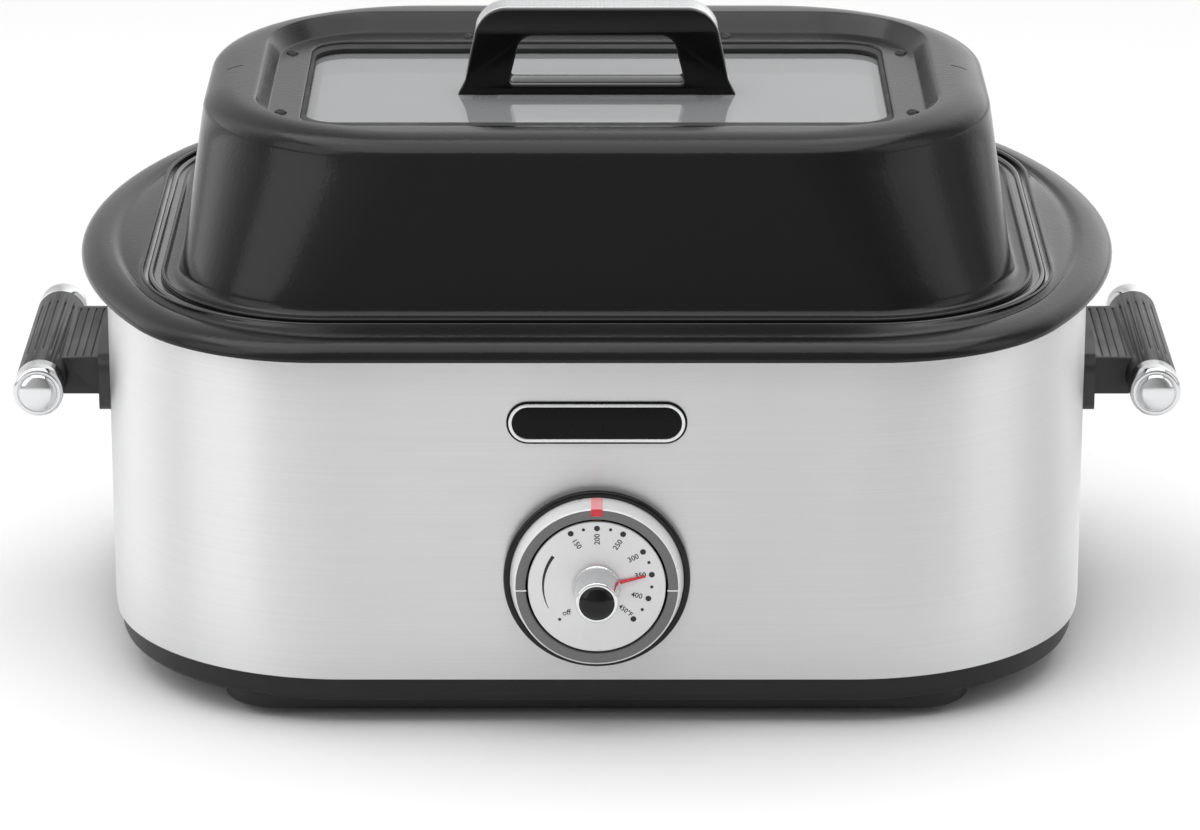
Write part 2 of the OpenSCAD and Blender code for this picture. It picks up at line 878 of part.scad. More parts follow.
module dial_bezel() {
    back = 2;
    color([0.03, 0.03, 0.035])
        stand()
            translate([0, -half_y, dial_z])
                rotate([90, 0, 0])
                    rotate_extrude()
                        polygon(concat(
                            [[bushing_r, 0], [bezel_foot_r, 0], [bezel_r, bezel_dep - 3]],
                            arc(bezel_r - 1.5, bezel_dep - 1.5, 1.5, 0, 90, 4),
                            [[drum_foot_r + 0.5, bezel_dep], [drum_foot_r + 0.1, bezel_dep - 0.5],
                             [drum_foot_r + 0.1, back], [bushing_r, back]]
                        ));
}

rim_t = 0.6;
lamp_z = dial_z + ring_in_r - 1.4;
lens_z = lamp_z + 3.2;

module lens_slot() {
    translate([-lens_w / 2, -half_y - drum_dep - 1, lens_z])
        cube([lens_w, drum_dep - bezel_dep + 1, 10]);
}

module dial_drum() {
    color([0.86, 0.87, 0.88])
        stand()
            difference() {
                translate([0, -half_y, dial_z])
                    rotate([90, 0, 0])
                        rotate_extrude()
                            polygon([
                                [drum_foot_r - drum_t, 2], [drum_foot_r, 2],
                                [drum_foot_r, bezel_dep], [drum_front_r, drum_dep - 0.4],
                                [drum_front_r - 0.4, drum_dep],
                                [drum_front_r - rim_t, drum_dep], [drum_front_r - rim_t, drum_dep - 4],
                                [ring_in_r + 2, drum_dep - 4], [ring_in_r + 2, drum_dep - 5.5],
                                [drum_front_r - drum_t - 0.4, drum_dep - 5.5]
                            ]);
                lens_slot();
            }
}

module dial_ring() {
    color([0.35, 0.35, 0.36])
        stand()
            difference() {
                translate([0, -half_y, dial_z])
                    rotate([90, 0, 0])
                        rotate_extrude()
                            polygon([
                                [ring_in_r, drum_dep - 4], [drum_front_r - rim_t, drum_dep - 4],
                                [drum_front_r - rim_t, drum_dep], [ring_in_r + 0.5, drum_dep],
                                [ring_in_r, drum_dep - 0.5]
                            ]);
                lens_slot();
            }
}

module dial_plate() {
    hub = 10;
    color([0.78, 0.78, 0.79])
        stand()
            translate([0, -half_y, dial_z])
                rotate([90, 0, 0])
                    rotate_extrude()
                        polygon([
                            [bushing_r + 0.3, 5.6], [hub - 2, 5.6], [hub - 2, 2], [hub, 2],
                            [hub, drum_dep - 2.4], [plate_r, drum_dep - 2.4],
                            [plate_r, drum_dep - 0.4], [plate_r - 0.3, drum_dep - 0.2],
                            [shaft_r + 1, drum_dep - 0.2], [shaft_r + 1, drum_dep - 2.4],
                            [hub - 2, drum_dep - 2.4], [hub - 2, 7], [bushing_r + 0.3, 7]
                        ]);
}

module bushing_nut() {
    color([0.8, 0.78, 0.6])
        stand()
            difference() {
                translate([0, -half_y - 2, dial_z])
                    rotate([90, 0, 0])
                        cylinder(h = 3, r = 7.5, $fn = 6);
                pin_y(0, -half_y + 5, dial_z, bushing_r, 20);
            }
}

module indicator_lens() {
    y = -half_y - drum_dep - 0.2;
    color([0.85, 0.1, 0.12])
        stand()
            translate([-lens_w / 2, 0, 0])
                rotate([90, 0, 90])
                    linear_extrude(lens_w)
                        polygon([
                            [y, lens_z], [y, dial_z + drum_front_r + 0.1],
                            [-half_y - bezel_dep, dial_z + drum_foot_r + 0.1],
                            [-half_y - bezel_dep, lens_z]
                        ]);
}

module indicator_lamp() {
    color([1, 0.55, 0.3])
        stand() {
            pin_y(0, -half_y - 2, lamp_z, 3, bezel_dep);
            pin_y(0, -half_y - bezel_dep - 2, lamp_z, 1.6, 3);
        }
}

// ---------- knob ----------

plate_y = -half_y - drum_dep;
pointer_gap = 0.3;
pointer_t = 0.8;

module control_shaft() {
    flat = 1;
    color([0.75, 0.75, 0.76])
        stand()
            difference() {
                pin_y(0, thermo_front + 7, dial_z, shaft_r,
                    thermo_front + 7 - plate_y + knob_len - 6);
                translate([-10, plate_y - knob_len, dial_z + shaft_r - flat])
                    cube([20, knob_len - 3, 10]);
            }
}

module knob() {
    foot = pointer_gap + pointer_t;
    color([0.85, 0.86, 0.88])
        stand()
            translate([0, plate_y, dial_z])
                rotate([90, 0, 0])
                    rotate_extrude()
                        polygon([
                            [shaft_r, foot], [knob_foot_r, foot],
                            [knob_foot_r, foot + 1], [knob_foot_r - 0.8, foot + 2],
                            [knob_front_r, knob_len - 1], [knob_front_r - 1, knob_len],
                            [cap_r, knob_len], [cap_r, knob_len - 4],
                            [shaft_r, knob_len - 4]
                        ]);
}

module knob_cap() {
    bow_r = (cap_r * cap_r + cap_h * cap_h) / (2 * cap_h);
    color([0.04, 0.04, 0.045])
        stand()
            translate([0, plate_y - knob_len + 4, dial_z])
                rotate([90, 0, 0])
                    rotate_extrude()
                        intersection() {
                            translate([0, 4 + cap_h - bow_r])
                                circle(bow_r);
                            square([cap_r - 0.05, 20]);
                        }
}

module pointer() {
    color([0.85, 0.05, 0.08])
        stand()
            translate([0, plate_y - pointer_gap, dial_z])
                rotate([90, 0, 0])
                    linear_extrude(pointer_t)
                        rotate(pointer_angle)
                            difference() {
                                union() {
                                    circle(knob_foot_r - 1.5);
                                    polygon([
                                        [0, -1.3], [pointer_r, -0.5],
                                        [pointer_r, 0.5], [0, 1.3]
                                    ]);
                                }
                                circle(shaft_r + 0.02);
                            }
}

// ---------- badge ----------

module stadium(len, h) {
    square([len - h, h], center = true);
    for (side = side_sign)
        translate([side * (len - h) / 2, 0])
            circle(h / 2);
}

badge_edge = 1.9;

module badge() {
    color([0.04, 0.04, 0.045])
        stand()
            translate([0, -half_y, badge_z])
                rotate([90, 0, 0]) {
                    linear_extrude(badge_t - 0.8)
                        stadium(badge_len, badge_h);
                    linear_extrude(badge_t - 0.4)
                        stadium(badge_len - 2 * badge_edge - 1.2, badge_h - 2 * badge_edge - 1.2);
                }
}

module badge_rim() {
    color([0.85, 0.86, 0.87])
        stand()
            translate([0, -half_y - badge_t + 0.8, badge_z])
                rotate([90, 0, 0])
                    linear_extrude(0.8)
                        difference() {
                            stadium(badge_len - 1.2, badge_h - 1.2);
                            stadium(badge_len - 2 * badge_edge - 1.2,
                                badge_h - 2 * badge_edge - 1.2);
                        }
}

// ---------- side handles ----------

arm_top = side_z + arm_h / 2 - 0.6;
pad_z = side_z - pad_h / 2 - 1.2;
over_all = side_z + pad_h;

module groove_cuts() {
    w = 0.9;
    deep = 0.8;
    reach = arm_len / 2 - 4;
    first = -2;
    for (i = [0:groove_count - 1]) {
        x = (i + first) * groove_pitch;
        top = abs(x) < side_r - 2
            ? max(side_z + sqrt(side_r * side_r - x * x), x > 0 ? arm_top : 0)
            : arm_top;
        translate([-side_x + x - w / 2, -reach, top - deep])
            cube([w, 2 * reach, 10]);
    }
}

module side_handle() {
    difference() {
        union() {
            // grip
            translate([-side_x, side_len / 2, side_z])
                rotate([90, 0, 0])
                    cylinder(h = side_len, r = side_r);
            // arm
            difference() {
                translate([-side_x, -arm_len / 2, arm_top - arm_h])
                    cube([side_x - half_x + 6, arm_len, arm_h]);
                plate(0, over_all)
                    shell_outline();
            }
            // flange that follows the shell
            difference() {
                intersection() {
                    plate(0, over_all)
                        shell_outline(pad_t);
                    translate([-half_x - 10, 0, pad_z])
                        rotate([90, 0, 90])
                            linear_extrude(60)
                                translate([0, pad_h / 2])
                                    panel(pad_len / 2, pad_h / 2, 9);
                }
                plate(0, over_all)
                    shell_outline();
            }
        }
        groove_cuts();
        // pilot holes for the bolts
        for (sy = side_sign)
            translate([-half_x - pad_t - 14, sy * bolt_y, side_z])
                rotate([0, 90, 0])
                    cylinder(h = pad_t + 20, r = bolt_r);
        // spigot holes for the chrome ends
        for (turn = [0, 180])
            translate([-side_x, 0, side_z])
                rotate([0, 0, turn])
                    translate([0, -side_len / 2 + 8, 0])
                        rotate([90, 0, 0])
                            cylinder(h = 9, r = side_r / 2);
    }
}

module left_handle() {
    color([0.12, 0.12, 0.125])
        stand()
            side_handle();
}

module right_handle() {
    color([0.12, 0.12, 0.125])
        stand()
            mirror([1, 0, 0])
                side_handle();
}

module side_ends() {
    dome_r = side_r - 3;
    dome_h = 4;
    bow_r = (dome_r * dome_r + dome_h * dome_h) / (2 * dome_h);
    sleeve = end_len - dome_h;
    for (turn = [0, 180])
        translate([-side_x, 0, side_z])
            rotate([0, 0, turn])
                translate([0, -side_len / 2, 0])
                    rotate([90, 0, 0])
                        rotate_extrude() {
                            translate([0, -6])
                                square([side_r / 2, 6 + eps]);
                            polygon(concat(
                                [[0, 0], [side_r, 0]],
                                arc(side_r - 2.5, sleeve - 2.5, 2.5, 0, 90),
                                [[dome_r + 0.3, sleeve], [dome_r, sleeve - 0.6], [0, sleeve - 0.6]]
                            ));
                            intersection() {
                                translate([0, sleeve - 0.6 + dome_h - bow_r])
                                    circle(bow_r);
                                square([dome_r, sleeve + dome_h]);
                            }
                        }
}

module left_handle_ends() {
    color([0.86, 0.87, 0.88])
        stand()
            side_ends();
}

module right_handle_ends() {
    color([0.86, 0.87, 0.88])
        stand()
            mirror([1, 0, 0])
                side_ends();
}

module handle_bolts() {
    bow_in = shell_end_r - sqrt(shell_end_r * shell_end_r - bolt_y * bolt_y);
    inner_x = half_x - shell_t - bow_in;
    color([0.7, 0.7, 0.72])
        stand()
            for (sx = side_sign, sy = side_sign)
                translate([0, sy * bolt_y, side_z])
                    rotate([0, sx * 90, 0]) {
                        translate([0, 0, inner_x - 3.2])
                            cylinder(h = 3, r = 2 * bolt_r);
                        translate([0, 0, inner_x - 3])
                            cylinder(h = pad_t + 15, r = bolt_r);
                    }
}

// ---------- pan and rack ----------

// profile of the pan, from the rim down to the floor
function pan_profile() =
    let (in_u = wall_u - pan_draft, f = pan_fillet, t = pan_t)
    concat(
        [[bead_u, ledge_top], [wall_u, ledge_top], [wall_u - 1.2, ledge_top - 1.2]],
        arc(in_u - f, pan_floor + f, f, 0, -90),
        [[in_u - f - 1, pan_floor], [in_u - f - 1, pan_floor - t]],
        arc(in_u - f, pan_floor + f, f + t, -90, 0),
        [[wall_u - 1.2 + t, ledge_bottom - 1.2], [wall_u + t, ledge_bottom],
         [bead_u, ledge_bottom]]
    );

module cook_pan() {
    color([0.05, 0.05, 0.055])
        stand() {
            round_panel(open_x, open_y, open_r) {
                polygon(pan_profile());
                translate([bead_u, ledge_bottom + bead_d / 2])
                    circle(bead_d / 2);
            }
            plate(pan_floor - pan_t, pan_t)
                open_outline(wall_u - pan_draft - pan_fillet);
        }
}

rack_z = pan_floor + rest_gap + rack_lift;

module wire(from, to, r) {
    d = to - from;
    len = norm(d);
    translate(from)
        rotate([0, acos(d[2] / len), atan2(d[1], d[0])])
            cylinder(h = len, r = r, $fn = 24);
}

module rack_frame() {
    round_panel(rack_x, rack_y, rack_r)
        translate([0, rack_z])
            circle(rack_wire, $fn = 24);
}

module lifting_loop() {
    bend = 14;
    half = loop_w / 2;
    top = rack_z + loop_h;
    for (side = side_sign) {
        wire([rack_x, side * half, rack_z], [rack_x, side * half, top - bend], loop_wire);
        translate([rack_x, side * (half - bend), top - bend])
            rotate([90, 0, 90])
                rotate(side > 0 ? 0 : 90)
                    rotate_extrude(angle = 90)
                        translate([bend, 0])
                            circle(loop_wire, $fn = 24);
    }
    wire([rack_x, bend - half, top], [rack_x, half - bend, top], loop_wire);
}

module roasting_rack() {
    pitch = 2 * rack_x / (rack_count + 1);
    long_y = rack_y / 3;
    color([0.8, 0.8, 0.82])
        stand() {
            rack_frame();
            for (i = [1:rack_count]) {
                x = i * pitch - rack_x;
                corner = max(0, abs(x) - (rack_x - rack_r));
                y = rack_y - rack_r + sqrt(rack_r * rack_r - corner * corner);
                wire([x, -y, rack_z], [x, y, rack_z], rack_cross);
            }
            for (side = side_sign)
                wire([-rack_x, side * long_y, rack_z - rack_cross],
                    [rack_x, side * long_y, rack_z - rack_cross], rack_cross + 0.3);
            four(rack_x - rack_r, rack_y)
                translate([0, 0, rack_z - rack_lift])
                    cylinder(h = rack_lift, r = loop_wire, $fn = 24);
        }
}

module rack_loops() {
    color([0.82, 0.82, 0.84])
        stand()
            difference() {
                union() {
                    lifting_loop();
                    mirror([1, 0, 0])
                        lifting_loop();
                }
                rack_frame();
            }
}

// ---------- lid ----------

// wall of the dome, f runs from 0 at the flange to 1 at the top
function wall_at(f, z, inward = 0) =
    let (
        a = open_x + lid_foot_u - 5 - lean_x * f,
        b = open_y + lid_foot_u - 5 - lean_y * f,
        r = (open_r + lid_foot_u - 5) * (1 - f) + lid_top_r * f
    )
    [a - inward, b - inward, r - inward, straight, z];

// rounding of the top edge, t runs from 0 on the wall to 90 on the crown
function crown_at(t, inward = 0) =
    let (
        top = wall_at(1, lid_z),
        full = min(crown_w, 0.6 * (top[0] - window_x - recess_out_x)),
        w = full - inward,
        h = crown_h - inward,
        d = full - w * cos(t)
    )
    [top[0] - d, top[1] - d, top[2] - d, straight, lid_z - crown_h + h * sin(t)];

// slope of the recess, f runs from 0 at its edge to 1 on its floor
function recess_at(f, drop, t = 0) =
    let (
        top = crown_at(90),
        share = [recess_share_x, recess_share_y, 0.27],
        low = [window_x + recess_out_x, window_y + recess_out_y, recess_r],
        u = 0.4 * t
    )
    [
        for (i = [0:2]) low[i] + (top[i] - low[i]) * share[i] * (1 - f) + u,
        straight,
        lid_z - drop - t
    ];

function window_at(u, z) =
    [window_x + u, window_y + u, window_r + u, straight, z];

function lid_stations() =
    let (
        t = lid_t,
        e = lid_edge_u,
        z = flange_z,
        top = crown_at(0),
        d = recess_depth
    )
    concat(
        [at(e, z), at(e, z + 1.8), at(e - 0.7, z + 2.4), at(e - 1.6, z + 2.3),
         at(e - 2.4, z + t), at(lid_foot_u, z + t), at(lid_foot_u - 3.2, z + t + 1),
         at(lid_foot_u - 4.7, z + t + 3), wall_at(0, z + t + 6)],
        [wall_at(0.5, (z + t + 6 + top[4]) / 2)],
        [for (a = [0, 18, 36, 54, 72, 90]) crown_at(a)],
        [[recess_at(0, 0), crown_at(90), 0.3, lid_z], recess_at(0, 0.3), recess_at(0.12, 0.12 * d),
         recess_at(0.5, 0.5 * d), recess_at(0.9, 0.9 * d), recess_at(0.98, 0.97 * d),
         recess_at(1.06, d)],
        [window_at(1, floor_z), window_at(0, floor_z - 0.6), window_at(0, floor_z - t)],
        [recess_at(1.06, d, t), recess_at(0.94, 0.94 * d, t), recess_at(0.5, 0.5 * d, t),
         recess_at(0.06, 0.06 * d, t), [recess_at(0, 0, t), crown_at(90), 0.3, lid_z - t]],
        [for (a = [90, 60, 30, 0]) crown_at(a, t)],
        [wall_at(0.5, (z + t + 6 + top[4]) / 2, t), wall_at(0, z + 6, t),
         at(lid_foot_u - 5.2, z + 2), at(lid_foot_u - 4, z)]
    );

function rivet_places() = concat(
    [for (sx = side_sign, sy = side_sign) [sx * rivet_x, sy * rivet_end_y]],
    [for (sx = side_sign, sy = side_sign) [sx * rivet_side_x, sy * rivet_y]]
);

glass_x = window_x + glass_lap;
glass_y = window_y + glass_lap;
glass_r = window_r + glass_lap;
rivet_x = glass_x + frame_t + frame_lap / 2 - 0.6;
rivet_y = glass_y + frame_t + frame_lap / 2 - 0.6;

module rivet_holes(z, h) {
    for (p = rivet_places())
        translate([p[0], p[1], z])
            cylinder(h = h, r = rivet_shank, $fn = 24);
}

module lid_shell() {
    slit_w = 1.2;
    color([0.055, 0.055, 0.06])
        stand()
            difference() {
                skin(lid_stations(), 2);
                rivet_holes(floor_z - 5, 10);
                // steam slits in the crown at both ends
                for (side = side_sign)
                    translate([side * (crown_at(90)[0] + 4.6), 0, lid_z - crown_h])
                        rotate(-side * slit_turn)
                            translate([-slit_len / 2, -slit_w / 2, 0])
                                cube([slit_len, slit_w, 2 * crown_h]);
            }
}

module window_glass() {
    color([0.75, 0.8, 0.8, 0.4])
        stand()
            difference() {
                plate(glass_z - glass_t, glass_t)
                    panel(glass_x, glass_y, glass_r);
                for (side = side_sign)
                    translate([side * screw_x, 0, glass_z - glass_t - 1])
                        cylinder(h = glass_t + 2, r = screw_r + 0.5);
            }
}

module window_seal() {
    color([0.03, 0.03, 0.03])
        stand()
            plate(glass_z, seal_t)
                difference() {
                    panel(glass_x, glass_y, glass_r);
                    panel(window_x - seal_lip_x, window_y - seal_lip_y,
                        window_r - seal_lip_x);
                }
}

module window_frame() {
    low = glass_z - glass_t - frame_t;
    color([0.07, 0.07, 0.075])
        stand()
            difference() {
                union() {
                    plate(low, frame_t)
                        difference() {
                            panel(glass_x + frame_t, glass_y + frame_t, glass_r + frame_t);
                            panel(glass_x - 11, glass_y - 11, glass_r - 11);
                        }
                    plate(low, floor_z - lid_t - low)
                        difference() {
                            panel(glass_x + frame_t, glass_y + frame_t, glass_r + frame_t);
                            panel(glass_x, glass_y, glass_r);
                        }
                    plate(floor_z - lid_t - frame_t, frame_t)
                        difference() {
                            panel(glass_x + frame_lap, glass_y + frame_lap, glass_r + frame_lap);
                            panel(glass_x + frame_t / 2, glass_y + frame_t / 2,
                                glass_r + frame_t / 2);
                        }
                }
                rivet_holes(floor_z - lid_t - frame_t - 1, frame_t + 2);
            }
}

module lid_rivets() {
    grip = lid_t + frame_t;
    dome = 1.9;
    bow_r = (rivet_r * rivet_r + dome * dome) / (2 * dome);
    color([0.06, 0.06, 0.065])
        stand()
            for (p = rivet_places())
                translate([p[0], p[1], floor_z]) {
                    rotate_extrude($fn = 32)
                        intersection() {
                            translate([0, dome - bow_r])
                                circle(bow_r);
                            square([rivet_r, dome]);
                        }
                    translate([0, 0, -grip - eps])
                        cylinder(h = grip + 2 * eps, r = rivet_shank, $fn = 32);
                    translate([0, 0, -grip - 1.2])
                        cylinder(h = 1.2, r1 = rivet_r - 1.4, r2 = rivet_r - 0.8, $fn = 32);
                }
}

// ---------- lid handle ----------

grip_z = glass_z + grip_h;

// outline of the handle seen from the front, moved in by t
module handle_outline(t = 0) {
    knee = 8;
    r = grip_r - t;
    slope = (grip_foot - 4 - grip_top) / (grip_h - knee);
    top_x = grip_top - t;
    top_z = grip_h - t;
    polygon(concat(
        [[-grip_foot + t, 0], [grip_foot - t, 0], [grip_foot - 4 - t, knee]],
        arc(top_x - r + slope * r * 0.4, top_z - r, r, 6, 90),
        arc(-top_x + r - slope * r * 0.4, top_z - r, r, 90, 174)
    ));
}

module handle_window() {
    low = grip_foot - grip_leg;
    high = low - 4;
    top = grip_h - grip_bar;
    r = 9;
    polygon(concat(
        [[-low, grip_base], [low, grip_base]],
        arc(high - r, top - r, r, 5, 90),
        arc(r - high, top - r, r, 90, 175)
    ));
}

module across_handle(from, len) {
    translate([0, from + len, glass_z])
        rotate([90, 0, 0])
            linear_extrude(len)
                children();
}

module lid_handle() {
    front = -grip_dep / 2;
    color([0.03, 0.03, 0.035])
        stand()
            difference() {
                union() {
                    across_handle(front, 1)
                        handle_outline(0.6);
                    across_handle(front + 1, grip_front - 1)
                        handle_outline();
                    across_handle(front + grip_front, grip_dep - grip_front)
                        handle_outline(trim_t);
                }
                across_handle(front - 1, grip_dep + 2)
                    handle_window();
                for (side = side_sign)
                    translate([side * screw_x, 0, glass_z - eps])
                        cylinder(h = 16, r = screw_r);
            }
}

module handle_trim() {
    front = -grip_dep / 2;
    color([0.85, 0.86, 0.87])
        stand()
            across_handle(front + grip_front, grip_dep - grip_front)
                difference() {
                    handle_outline();
                    handle_outline(trim_t);
                    translate([-grip_foot - 1, -1])
                        square([2 * grip_foot + 2, 5]);
                }
}

washer_t = 1.2;

module handle_screws() {
    screw_in = 15;
    low = glass_z - glass_t;
    color([0.7, 0.7, 0.72])
        stand()
            for (side = side_sign)
                translate([side * screw_x, 0, 0]) {
                    translate([0, 0, low - washer_t - 3])
                        cylinder(h = 3, r1 = screw_r + 1.1, r2 = screw_r + 2.1);
                    translate([0, 0, low - 1.5])
                        cylinder(h = glass_t + screw_in, r = screw_r);
                }
}

module handle_washers() {
    low = glass_z - glass_t;
    color([0.05, 0.05, 0.05])
        stand()
            for (side = side_sign)
                translate([side * screw_x, 0, low - washer_t])
                    difference() {
                        cylinder(h = washer_t, r = screw_r + 4.5);
                        translate([0, 0, -1])
                            cylinder(h = 4, r = screw_r);
                    }
}

// ---------- what is shown ----------

base_pan();
bottom_cover();
feet();
cover_screws();
outer_shell();
top_collar();
heating_well();
band_heater();
insulation_blanket();
support_posts();
thermostat();
thermostat_bracket();
terminal_block();
cord_gland();
gland_nut();
dial_bezel();
dial_drum();
dial_ring();
dial_plate();
bushing_nut();
indicator_lens();
indicator_lamp();
badge();
badge_rim();
left_handle();
right_handle();
left_handle_ends();
right_handle_ends();
handle_bolts();
control_shaft();
knob();
knob_cap();
pointer();
cook_pan();
roasting_rack();
rack_loops();
lid_shell();
window_glass();
window_seal();
window_frame();
lid_rivets();
lid_handle();
handle_trim();
handle_screws();
handle_washers();
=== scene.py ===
import json
from math import asin, atan2, cos, pi, radians, sin, sqrt

import bmesh
import bpy
from mathutils import Matrix, Vector

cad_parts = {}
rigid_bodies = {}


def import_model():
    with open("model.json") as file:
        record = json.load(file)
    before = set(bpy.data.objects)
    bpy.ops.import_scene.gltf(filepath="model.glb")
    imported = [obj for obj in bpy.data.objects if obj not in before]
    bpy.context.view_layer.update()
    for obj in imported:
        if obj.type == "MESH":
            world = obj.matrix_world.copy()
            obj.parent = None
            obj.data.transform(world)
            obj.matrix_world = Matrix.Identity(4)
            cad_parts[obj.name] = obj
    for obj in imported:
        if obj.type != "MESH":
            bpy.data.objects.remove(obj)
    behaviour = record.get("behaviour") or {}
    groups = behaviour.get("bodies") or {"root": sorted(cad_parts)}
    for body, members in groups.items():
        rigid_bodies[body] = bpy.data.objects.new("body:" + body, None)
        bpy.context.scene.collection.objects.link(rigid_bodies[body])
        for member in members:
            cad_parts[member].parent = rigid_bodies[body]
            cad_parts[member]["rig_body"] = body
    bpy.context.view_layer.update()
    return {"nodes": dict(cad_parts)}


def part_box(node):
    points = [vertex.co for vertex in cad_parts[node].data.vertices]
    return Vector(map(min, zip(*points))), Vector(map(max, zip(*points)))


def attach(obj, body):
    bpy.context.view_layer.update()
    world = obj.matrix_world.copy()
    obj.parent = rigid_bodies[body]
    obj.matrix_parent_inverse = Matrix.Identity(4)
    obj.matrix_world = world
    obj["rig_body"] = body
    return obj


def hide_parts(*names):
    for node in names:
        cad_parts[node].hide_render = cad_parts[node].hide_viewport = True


bl_info = {
    "name": "Roaster Oven Dressing",
    "version": (1, 0, 0),
    "blender": (4, 5, 0),
    "location": "3D View > Sidebar > Roaster",
    "description": "Dresses the packed roaster oven with enamel, brushed steel, a printed dial and studio light",
    "category": "Object",
}

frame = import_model()
MM = 0.001


def node_box(node):
    """Lowest and highest corner of a CAD node, in millimetres, with the depth counted from the body's middle."""
    low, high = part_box(node)
    return (
        Vector((low.x / MM, low.y / MM - MIDDLE, low.z / MM)),
        Vector((high.x / MM, high.y / MM - MIDDLE, high.z / MM)),
    )


_low, _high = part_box("outer_shell")
MIDDLE = (_low.y + _high.y) / 2 / MM
SHELL_LOW, SHELL_HIGH = node_box("outer_shell")
COLLAR_LOW, COLLAR_HIGH = node_box("top_collar")
LID_LOW, LID_HIGH = node_box("lid_shell")
GLASS_LOW, GLASS_HIGH = node_box("window_glass")
HANDLE_LOW, HANDLE_HIGH = node_box("lid_handle")
PAN_LOW, PAN_HIGH = node_box("cook_pan")
BEZEL_LOW, BEZEL_HIGH = node_box("dial_bezel")
DIAL_Z = (BEZEL_LOW.z + BEZEL_HIGH.z) / 2
FRONT = SHELL_LOW.y


# ---------- settings ----------


class RoasterSizes(bpy.types.PropertyGroup):
    shell_corner: bpy.props.FloatProperty(
        name="Shell Corner", description="Radius of the steel shell's corners", default=0.126, unit="LENGTH"
    )
    shell_bow: bpy.props.FloatProperty(
        name="Shell Bow", description="Radius of the shell's bowed ends", default=0.715, unit="LENGTH"
    )
    collar_corner: bpy.props.FloatProperty(
        name="Collar Corner", description="Radius of the collar's corners", default=0.109, unit="LENGTH"
    )
    collar_bow: bpy.props.FloatProperty(
        name="Collar Bow", description="Radius of the collar's bowed ends", default=0.330, unit="LENGTH"
    )
    lid_corner: bpy.props.FloatProperty(
        name="Lid Corner", description="Corner radius at the top of the lid", default=0.112, unit="LENGTH"
    )
    lid_crown: bpy.props.FloatProperty(
        name="Lid Crown", description="Width of the rounding at the lid's top edge", default=0.019, unit="LENGTH"
    )
    edge: bpy.props.FloatProperty(
        name="Eased Edge", description="Rounding of the small plastic and metal edges", default=0.0005, unit="LENGTH"
    )
    digits: bpy.props.FloatProperty(
        name="Digit Height", description="Letter size of the numbers on the dial", default=0.0039, unit="LENGTH"
    )


class RoasterColours(bpy.types.PropertyGroup):
    steel: bpy.props.FloatVectorProperty(
        name="Steel", description="Colour of the brushed steel wrap", subtype="COLOR", default=(0.78, 0.78, 0.785)
    )
    enamel: bpy.props.FloatVectorProperty(
        name="Enamel", description="Colour of the lid and collar", subtype="COLOR", default=(0.006, 0.006, 0.0065)
    )
    pan: bpy.props.FloatVectorProperty(
        name="Pan", description="Colour of the pan's porcelain enamel", subtype="COLOR", default=(0.012, 0.012, 0.013)
    )
    plastic: bpy.props.FloatVectorProperty(
        name="Plastic", description="Colour of the gloss plastic", subtype="COLOR", default=(0.004, 0.004, 0.0044)
    )
    grip: bpy.props.FloatVectorProperty(
        name="Grip", description="Colour of the side grips", subtype="COLOR", default=(0.022, 0.022, 0.023)
    )
    ring: bpy.props.FloatVectorProperty(
        name="Dial Ring", description="Colour of the dial's dark ring", subtype="COLOR", default=(0.15, 0.15, 0.153)
    )
    plate: bpy.props.FloatVectorProperty(
        name="Scale Plate", description="Colour of the pale scale plate", subtype="COLOR", default=(0.76, 0.76, 0.765)
    )
    red: bpy.props.FloatVectorProperty(
        name="Red", description="Colour of the pointer and the lens", subtype="COLOR", default=(0.62, 0.012, 0.03)
    )
    chrome: bpy.props.FloatVectorProperty(
        name="Chrome", description="Colour of the bright plated pieces", subtype="COLOR", default=(0.74, 0.745, 0.755)
    )
    # The window's grey is partly the glass's own tint and partly a painted reflection of the bright studio.
    window: bpy.props.FloatVectorProperty(
        name="Window", description="Tint of the window glass", subtype="COLOR", default=(0.36, 0.37, 0.375)
    )


class RoasterStage(bpy.types.PropertyGroup):
    lens: bpy.props.FloatProperty(
        name="Lens", description="Focal length of the camera in millimetres", default=162.9
    )
    tilt: bpy.props.FloatProperty(
        name="Tilt", description="How far the camera looks down", subtype="ANGLE", default=radians(18.70)
    )
    distance: bpy.props.FloatProperty(
        name="Distance", description="Distance of the camera in front of the body", default=2.8064, unit="LENGTH"
    )
    height: bpy.props.FloatProperty(
        name="Height", description="Height of the camera above the table", default=1.050, unit="LENGTH"
    )
    light: bpy.props.FloatProperty(
        name="Light", description="Strength of all lamps together", default=1.0, min=0.0
    )


def sizes():
    return bpy.context.scene.roaster_sizes


def colours():
    return bpy.context.scene.roaster_colours


# ---------- finishes ----------


